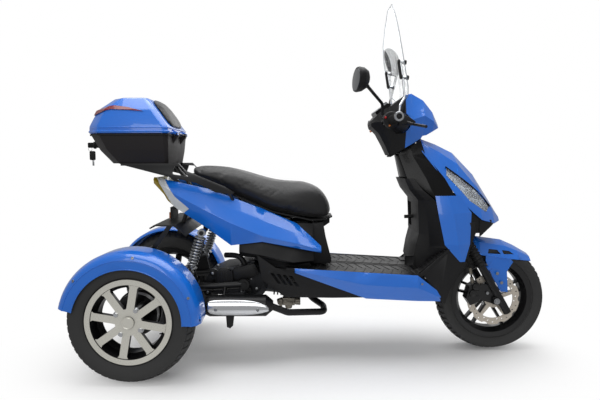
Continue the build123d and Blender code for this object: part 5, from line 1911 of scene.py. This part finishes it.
    def screen_clamps(self) -> None:
        """Black knobs and clamp bars that hold the clear sheet to its rods."""
        parts = []
        for side in Side:
            y = side.value * 150
            for x, z in ((-438, 1215), (-449, 1278)):
                head_ends = front_mm(x - 12, y, z + 1), front_mm(x - 2, y, z)
                parts.append(cylinder(*head_ends, 0.0095, sides=24))
                knob_ends = front_mm(x + 14, y, z - 2), front_mm(x + 25, y, z - 3)
                parts.append(cylinder(*knob_ends, 0.0105, 0.009, 12))
            bar_ends = front_mm(-446, y, 1211), front_mm(-457, y, 1282)
            parts.append(cylinder(*bar_ends, 0.0065, sides=16))
        done(parts, "screen_clamps", "steering", GRAINED_PP, 34)

    def sheet_edge(self) -> None:
        """Polished edge round the clear sheet, following its bow."""
        half = [
            (60, 1134), (130, 1142), (190, 1172), (208, 1240), (208, 1330), (185, 1410),
            (125, 1480), (50, 1541),
        ]
        line = half + [(-y, z) for y, z in half[::-1]] + [half[0]]
        heights = ((1125, -400), (1300, -434), (1440, -457), (1545, -467))
        points = []
        for y, z in line:
            x = heights[-1][1]
            for (z0, x0), (z1, x1) in zip(heights, heights[1:]):
                if z0 <= z <= z1:
                    x = x0 + (x1 - x0) * (z - z0) / (z1 - z0)
            bow = self.sheet_radius - math.sqrt(self.sheet_radius**2 - y**2)
            points.append(front_mm(x - bow - 1.5, y, z))
        edge = bent_tube(points, 0.0018, 2, smooth=False)
        done(edge, "screen_edge", "steering", SHEET_EDGE, 60)

    def column_seal(self) -> None:
        """Black felt ring that closes the gap under the bar cover and turns with it."""
        lean = math.radians(30)
        outline = [
            (-44, -74), (44, -74), (49, 0), (44, 80), (20, 88), (-20, 88), (-44, 80), (-49, 0),
        ]
        rings = []
        for along in (708.0, 713.6):
            ring = []
            for y, ahead in outline:
                x = -48 - along * math.sin(lean) + ahead * math.cos(lean)
                z = 305 + along * math.cos(lean) + ahead * math.sin(lean)
                ring.append(front_mm(x, y, z))
            rings.append(ring)
        done(lofted(rings), "column_seal", "steering", SOFT_RUBBER, 30)

    def mirror_glass(self) -> None:
        """Silvered glass, domed a little, in the flat side of each mirror."""
        table = (
            # side, middle of the head, long axis, half length
            (Side.RIGHT, (-640, 318, 1180), (0.1, -0.97, 0.2), 76.0),
            (Side.LEFT, (-396, 322, 1362), (0.25, -0.35, -0.9), 80.0),
        )
        # Rings of the dome: share of the size, place along the way that the glass faces.
        dome = ((0.92, -13.0), (0.9, -14.8), (0.6, -15.6), (0.3, -16.0), (0.02, -16.2))
        for side, centre, long_axis, half in table:
            s = side.value
            along = Vector(long_axis).normalized()
            facing = Vector((1, s * 0.25, 0.1))
            facing = (facing - along * facing.dot(along)).normalized()
            up = facing.cross(along)
            middle = Vector((centre[0], s * centre[1], centre[2]))
            rings = []
            for share, depth in dome:
                ring = []
                for n in range(40):
                    a = 2 * math.pi * n / 40
                    spot = along * (half * 0.96 * share * math.cos(a))
                    spot = spot + up * (42 * share * math.sin(a))
                    ring.append(front_mm(*(middle + spot + facing * depth)))
                rings.append(ring)
            name = f"mirror_glass_{side.name.lower()}"
            done(lofted(rings), name, "steering", MIRROR_SILVER, 40)


# Lamps


@dataclass
class HeadlampInsides:
    """Reflectors, bulbs and dividers behind the front lamp covers, in millimetres."""

    bowls: tuple[tuple[float, float, float, float], ...] = (
        # x, y, z, radius
        (-96, 84, 726, 26),
        (-52, 60, 688, 20),
        (-150, 100, 782, 17),
    )

    # A bowl's profile as shares of its radius: along its axis, from the axis.
    bowl_profile: tuple[Pair, ...] = (
        (-0.9, 0.12), (-0.75, 0.5), (-0.4, 0.8), (0.0, 1.0), (0.0, 0.94), (-0.4, 0.74),
        (-0.7, 0.42), (-0.8, 0.12),
    )

    def build(self) -> None:
        """Builds both sides."""
        bowls, bulbs, rims = [], [], []
        liners, seals = [], []
        for side in Side:
            s = side.value
            for x, y, z, r in self.bowls:
                way = Vector((0.62, s * 0.62, 0.35)).normalized()
                base = Vector((x - 6, s * (y - 6), z - 3))
                bowl = [(r * a if a else 0.0, r * b) for a, b in self.bowl_profile]
                bowls.append(self.aimed(bowl, way, base))
                rim = [(-1.5, r), (0.8, r + 0.4), (0.8, r + 2.6), (-1.5, r + 2.6), (-1.5, r)]
                rims.append(self.aimed(rim, way, base))
                bulb_ends = front_mm(*(base - way * r * 0.7)), front_mm(*(base - way * r * 0.2))
                bulbs.append(cylinder(*bulb_ends, r * 0.2 / 1000, sides=16))
            lines = [(-224, 826), (-116, 738), (-44, 664), (-58, 650), (-132, 700), (-226, 802)]
            outline = [front_xz(x, z) for x, z in lines]
            liners.append(side_slab(side, outline, 0.050, 0.0525, 0.0008))
            for x, z in ((-190, 800), (-128, 748), (-74, 698)):
                step = [(x - 2, z - 30), (x + 3, z - 33), (x + 10, z - 4), (x + 5, z + 2)]
                outline = [front_xz(a, b) for a, b in step]
                liners.append(side_slab(side, outline, 0.052, 0.070, 0.0008))
            edge = [
                (-236, 95.5, 838), (-180, 105.5, 797), (-114, 97, 748), (-60, 83, 700),
                (-30, 75, 663),
            ]
            seals.append(bent_tube([front_mm(x, s * y, z) for x, y, z in edge], 0.0032, 3))
        done(liners, "headlamp_liners", "chassis", REFLECTOR, 30)
        done(seals, "headlamp_seals", "chassis", GLOSS_ABS, 50)
        done(bowls, "headlamp_bowls", "chassis", CHROME, 50)
        done(rims, "headlamp_rims", "chassis", CHROME, 40)
        done(bulbs, "headlamp_bulbs", "chassis", FROSTED, 40)

    @staticmethod
    def aimed(profile: Sequence[Pair], way: Vector, base: Vector) -> bpy.types.Object:
        """A round piece spun from a profile and turned to a direction.

        Args:
            profile: its points in millimetres.
            way: the direction of its axis.
            base: its place, in millimetres from the front axle.

        Returns:
            The piece.
        """
        piece = spun(profile, (0, 0, 0), "Z", 36)
        piece.data.transform(Matrix.Scale(0.001, 4))
        piece.data.transform(way.to_track_quat("Z", "Y").to_matrix().to_4x4())
        piece.data.transform(Matrix.Translation(front_mm(*base)))
        return piece


def tail_lens() -> bpy.types.Material:
    """Tail lamp cover moulded in two colours: amber along its rear edge, clear before it.

    Returns:
        The material, with flutes across that break its lights into lines.
    """
    material, tree, shader = blank_material("two_colour_tail_lens")
    coordinates = add_node(tree, "ShaderNodeTexCoord")
    edge = (AXLE_X + 0.026, 0.0, 0.795)
    from_edge = add_node(
        tree,
        "ShaderNodeVectorMath",
        {"operation": "SUBTRACT"},
        {0: coordinates.outputs["Object"], 1: edge},
    )
    depth = add_node(
        tree,
        "ShaderNodeVectorMath",
        {"operation": "DOT_PRODUCT"},
        {0: from_edge.outputs["Vector"], 1: (0.858, 0.0, 0.513)},
    )
    clear = add_node(
        tree,
        "ShaderNodeMapRange",
        inputs={"Value": depth.outputs["Value"], "From Min": 0.014, "From Max": 0.016},
    )
    mix = add_node(
        tree,
        "ShaderNodeMix",
        {"data_type": "RGBA"},
        {0: clear.outputs["Result"], 6: linear("#a8922e"), 7: linear("#e8ecf0")},
    )
    flutes = add_node(
        tree,
        "ShaderNodeMapping",
        inputs={"Vector": coordinates.outputs["Object"], "Scale": (0.2, 1.0, 1.0)},
    )
    lines = add_node(
        tree,
        "ShaderNodeTexWave",
        {"bands_direction": "Z"},
        {"Vector": flutes.outputs["Vector"], "Scale": 55.0},
    )
    bump = add_node(
        tree,
        "ShaderNodeBump",
        inputs={"Height": lines.outputs["Fac"], "Strength": 0.25, "Distance": 0.0008},
    )
    tree.links.new(mix.outputs[2], shader.inputs["Base Color"])
    tree.links.new(bump.outputs["Normal"], shader.inputs["Normal"])
    shader.inputs["Roughness"].default_value = 0.12
    shader.inputs["Transmission Weight"].default_value = 0.35
    shader.inputs["IOR"].default_value = 1.2
    shader.inputs["Coat Weight"].default_value = 0.6
    return material


# Nose and floor


@dataclass
class NoseTrim:
    """Black plates, 4 mm thick, behind the open edges of the panels.

    The outlines are in millimetres in side view: the cheek and the strip behind the wing's
    front edge and the plate behind the skirt's front end from the front axle, and the plate
    behind the deck's step from the rear axle.
    """

    cheek: tuple[Pair, ...] = (
        (-158, 652), (-112, 642), (-84, 622), (-84, 552), (-104, 551), (-118, 551), (-178, 552),
    )
    strip: tuple[Pair, ...] = (
        (-160, 600), (-124, 600), (-118, 556), (-131, 520), (-143, 480), (-150, 448),
        (-178, 440),
    )
    skirt_back: tuple[Pair, ...] = (
        (-395, 384), (-352, 382), (-270, 292), (-264, 266), (-395, 274),
    )
    step: tuple[Pair, ...] = (
        (490, 470), (640, 470), (715, 447), (700, 412), (600, 404), (500, 424),
    )
    thick: float = 0.004

    def build(self) -> None:
        """Builds the plates of both sides as one piece."""
        table = (
            # outline, axle it is measured from, distance of the inner face in metres
            (self.cheek, front_xz, 0.128),
            (self.strip, front_xz, 0.158),
            (self.skirt_back, front_xz, 0.170),
            (self.step, rear_xz, 0.150),
        )
        parts = []
        for side in Side:
            for corners, from_axle, near in table:
                outline = [from_axle(x, z) for x, z in corners]
                parts.append(side_slab(side, outline, near, near + self.thick, 0.001))
        done(parts, "nose_cheeks", "chassis", GRAINED_PP, 30)


@dataclass
class FloorDetails:
    """Moulded ridges on foot board and toe boards, and a flap at the column's foot.

    The foot board's top runs between two (x, z) points, in millimetres.
    """

    rear: Pair = (604.0, 414.4)
    front: Pair = (1160.0, 381.0)

    def deck(self, x: float) -> float:
        """Height of the foot board's top."""
        (x0, z0), (x1, z1) = self.rear, self.front
        return z0 + (x - x0) * (z1 - z0) / (x1 - x0)

    def build(self) -> None:
        """Builds the ridges, the toe boards and the flap."""
        self.chevrons()
        self.toe_boards()
        self.flap()

    def chevrons(self) -> None:
        """V-shaped ridges pointing forward, one run on each half of the board."""
        strips = []
        for n in range(13):
            x = 632 + n * 40
            for s in (-1, 1):
                for y0, y1, lead in ((20, 104, 24), (104, 188, -24)):
                    if n > 0 or lead < 0:
                        strips.append(self.strip((x, s * y0), (x + lead, s * y1)))
        for s in (-1, 1):
            for y in (14, 194):
                strips.append(self.strip((622, s * y), (1150, s * y)))
        done(strips, "foot_board_ridges", "chassis", GRAINED_PP, 30)

    def strip(self, start: Pair, end: Pair) -> bpy.types.Object:
        """One ridge, 5 mm wide and 2 mm high.

        Args:
            start: (x, y) of one end on the board's top.
            end: (x, y) of the other end.

        Returns:
            The ridge.
        """
        a, b = Vector((*start, 0)), Vector((*end, 0))
        way = (b - a).normalized()
        side = Vector((-way.y, way.x, 0)) * 2.6
        top = side * 0.6
        rings = []
        for spot in (a, b):
            z = self.deck(spot.x) - 0.5
            row = [
                (spot - side, z), (spot + side, z), (spot + top, z + 2.6), (spot - top, z + 2.6),
            ]
            rings.append([rear_mm(p.x, p.y, height) for p, height in row])
        return lofted(rings)

    def toe_boards(self) -> None:
        """Sloping foot rests in front, each with eight cross ridges."""
        corners = [(1150, 386), (1172, 388), (1292, 494), (1296, 487), (1180, 374), (1150, 376)]
        board = [rear_xz(x, z) for x, z in corners]
        for side in Side:
            parts = [side_slab(side, board, 0.110, 0.196, 0.0015)]
            for n in range(8):
                x, z = 1180 + n * 13.6, 394.5 + n * 12.1
                ridge = [(x, z), (x + 5, z + 4.4), (x + 2.4, z + 7.4), (x - 2.6, z + 3.0)]
                outline = [rear_xz(a, b) for a, b in ridge]
                parts.append(side_slab(side, outline, 0.122, 0.186, 0.0005))
            name = f"toe_board_{side.name.lower()}"
            done(parts, name, "chassis", GRAINED_PP, 30)

    def flap(self) -> None:
        """Small service flap with a sunk face on the column's foot."""
        plate = block(rear_mm(1122, -121, 408), rear_mm(1164, -109, 452), 0.003)
        if pick(plate, lambda centre, normal: normal.y < -0.9):
            bpy.ops.mesh.inset(thickness=0.004, depth=-0.004)
        close_edit()
        done(plate, "service_flap", "chassis", GRAINED_PP, 30)


# Front fork


@dataclass
class ForkDetails:
    """Axle nut, caliper bolts, the caliper's housings and the brake hose."""

    def build(self) -> None:
        """Builds the pieces."""
        self.caliper()
        self.hose()
        right = (0.0, -1.0, 0.0)
        rows = [
            ((0, -112, FRONT_HUB_Z), right, 11.0, 9.0, True),
            ((-39, -101, 278), right, 5.5, 5.0, True),
            ((-60, -101, 232), right, 5.0, 5.0, True),
        ]
        name = "axle_and_caliper_bolts"
        Fasteners(name, "steering", BRUSHED_STEEL, "steel", front_mm, rows).build()

    def caliper(self) -> None:
        """Ribbed face with two piston housings and a bleed nipple."""
        parts = []
        for x, z in ((-104, 278), (-92, 306)):
            parts.append(cylinder(front_mm(x, -94, z), front_mm(x, -108, z), 0.0165, 0.0145, 28))
            cap_ends = front_mm(x, -107, z), front_mm(x, -110.5, z)
            parts.append(cylinder(*cap_ends, 0.0085, sides=20))
        for n in range(3):
            z = 262 + n * 24
            parts.append(block(front_mm(-122, -100, z - 2), front_mm(-74, -94, z + 2), 0.001))
        parts.append(cylinder(front_mm(-84, -90, 322), front_mm(-92, -92, 340), 0.0035, 0.003, 14))
        done(parts, "caliper_housings", "steering", BLACK_ALLOY, 30)

    def hose(self) -> None:
        """Brake hose from its pale banjo fitting up behind the gaiter to the yoke."""
        points = [
            front_mm(-104, -90, 330),
            front_mm(-112, -92, 366),
            front_mm(-118, -96, 402),
            front_mm(-150, -92, 452),
            front_mm(-178, -76, 500),
        ]
        cord_of(points, 0.0085, "brake_hose", "steering", SOFT_RUBBER)
        parts = [
            cylinder(front_mm(-103, -90, 322), front_mm(-108, -91, 348), 0.0085, 0.0075, 12),
            cylinder(front_mm(-112, -92, 362), front_mm(-118, -95, 392), 0.0082, sides=16),
        ]
        done(parts, "hose_fittings", "steering", ZINC_CASTING, 30)


def cord_of(
    points: Sequence[Point], diameter: float, name: str, body: str, finish: Finish
) -> bpy.types.Object:
    """A hose held at both ends, along a smooth line.

    Args:
        points: the control points, the first where it leaves its fitting.
        diameter: its diameter in metres.
        name: its name.
        body: the body it moves with.
        finish: its finish.

    Returns:
        The curve object.
    """
    curve = line_through(points, name, 12)
    hose = placed(name, curve)
    line = hose.evaluated_get(bpy.context.evaluated_depsgraph_get()).to_mesh()
    curve.bevel_depth = diameter / 2
    curve.bevel_resolution = 4
    curve.use_fill_caps = True
    curve.materials.append(finish.build())
    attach(hose, body)
    return hose


SOFT_TABLE: tuple[tuple[str, str, Finish, float], ...] = (
    # node, body, finish, width of the creases in metres
    ("side_panels", "chassis", BLUE_ABS, 0.026),
    ("front_cowl", "chassis", BLUE_ABS, 0.026),
    ("cowl_wings", "chassis", BLUE_ABS, 0.022),
    ("skirts", "chassis", BLUE_ABS, 0.018),
    ("bar_cowl_front", "steering", BLUE_ABS, 0.024),
    ("front_fender", "steering", BLUE_ABS, 0.016),
    ("rear_fenders", "chassis", BLUE_ABS, 0.014),
    ("topcase_lid", "case_lid", BLUE_ABS, 0.030),
    ("topcase_base", "chassis", CHARCOAL_PP, 0.014),
    ("leg_shield", "chassis", GRAINED_PP, 0.022),
    ("knee_panels", "chassis", GRAINED_PP, 0.010),
    ("neck_cover", "chassis", GLOSS_ABS, 0.024),
    ("bar_cowl_rear", "steering", GRAINED_PP, 0.022),
    ("seat_base", "chassis", GRAINED_PP, 0.012),
    ("belly_panels", "chassis", GRAINED_PP, 0.008),
    ("nose_lower", "chassis", GRAINED_PP, 0.008),
    ("luggage_rack", "chassis", BLACK_ALLOY, 0.004),
    ("mirrors", "steering", GRAINED_PP, 0.004),
    ("engine", "chassis", CAST_ALLOY, 0.006),
)


def wheels() -> None:
    """Builds the three tyres and the rear wheels' trim."""
    RoadTyre(
        name="front_road_tyre", node="front_tyre", body="front_wheel",
        centre=front_mm(0, 0, FRONT_HUB_Z), outer_r=0.243, width=0.130, flange_r=0.181,
        blocks=54, depth=0.008, chunky=True,
    ).build()
    for side in Side:
        word = side.name.lower()
        RoadTyre(
            name=f"rear_road_tyre_{word}", node=f"rear_tyre_{word}", body=f"rear_wheel_{word}",
            centre=rear_mm(0, side.value * 345, REAR_HUB_Z), outer_r=0.25, width=0.145,
            flange_r=0.168, blocks=50, depth=0.004, chunky=False,
        ).build()
        RearWheelTrim(side).build()


def panel_fasteners() -> None:
    """Builds the screws and bolts of mudguards and skirts."""
    skirt_rows = [
        ((1176, side.value * 213.5, 348), (0.0, side.value, 0.0), 4.5, 2.5, False) for side in Side
    ]
    plate_rows = [
        ((x, side.value * 92.5, z), (0.0, side.value, 0.0), 5.5, 4.5, True)
        for side in Side
        for x, z in ((6, 364), (26, 322))
    ]
    for name, body, frame_of, rows in (
        ("fender_screws", "chassis", rear_mm, fender_rows()),
        ("skirt_screws", "chassis", rear_mm, skirt_rows),
        ("fender_plate_bolts", "steering", front_mm, plate_rows),
    ):
        Fasteners(name, body, BRUSHED_STEEL, "steel", frame_of, rows).build()


def main() -> None:
    """Builds everything in order."""
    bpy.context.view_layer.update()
    dress_nodes()
    Studio().build()
    wheels()
    DiscBrake().build()
    Saddle().build()
    CaseTrim().build()
    SoftPanels(SOFT_TABLE).build()
    FenderBeads().build()
    panel_fasteners()
    EngineDress().build()
    SilencerShield().build()
    BarDetails().build()
    HeadlampInsides().build()
    NoseTrim().build()
    recoat("tail_lamp", tail_lens())
    FloorDetails().build()
    ForkDetails().build()
    log.info("all pieces built")


if __name__ == "__main__":
    main()
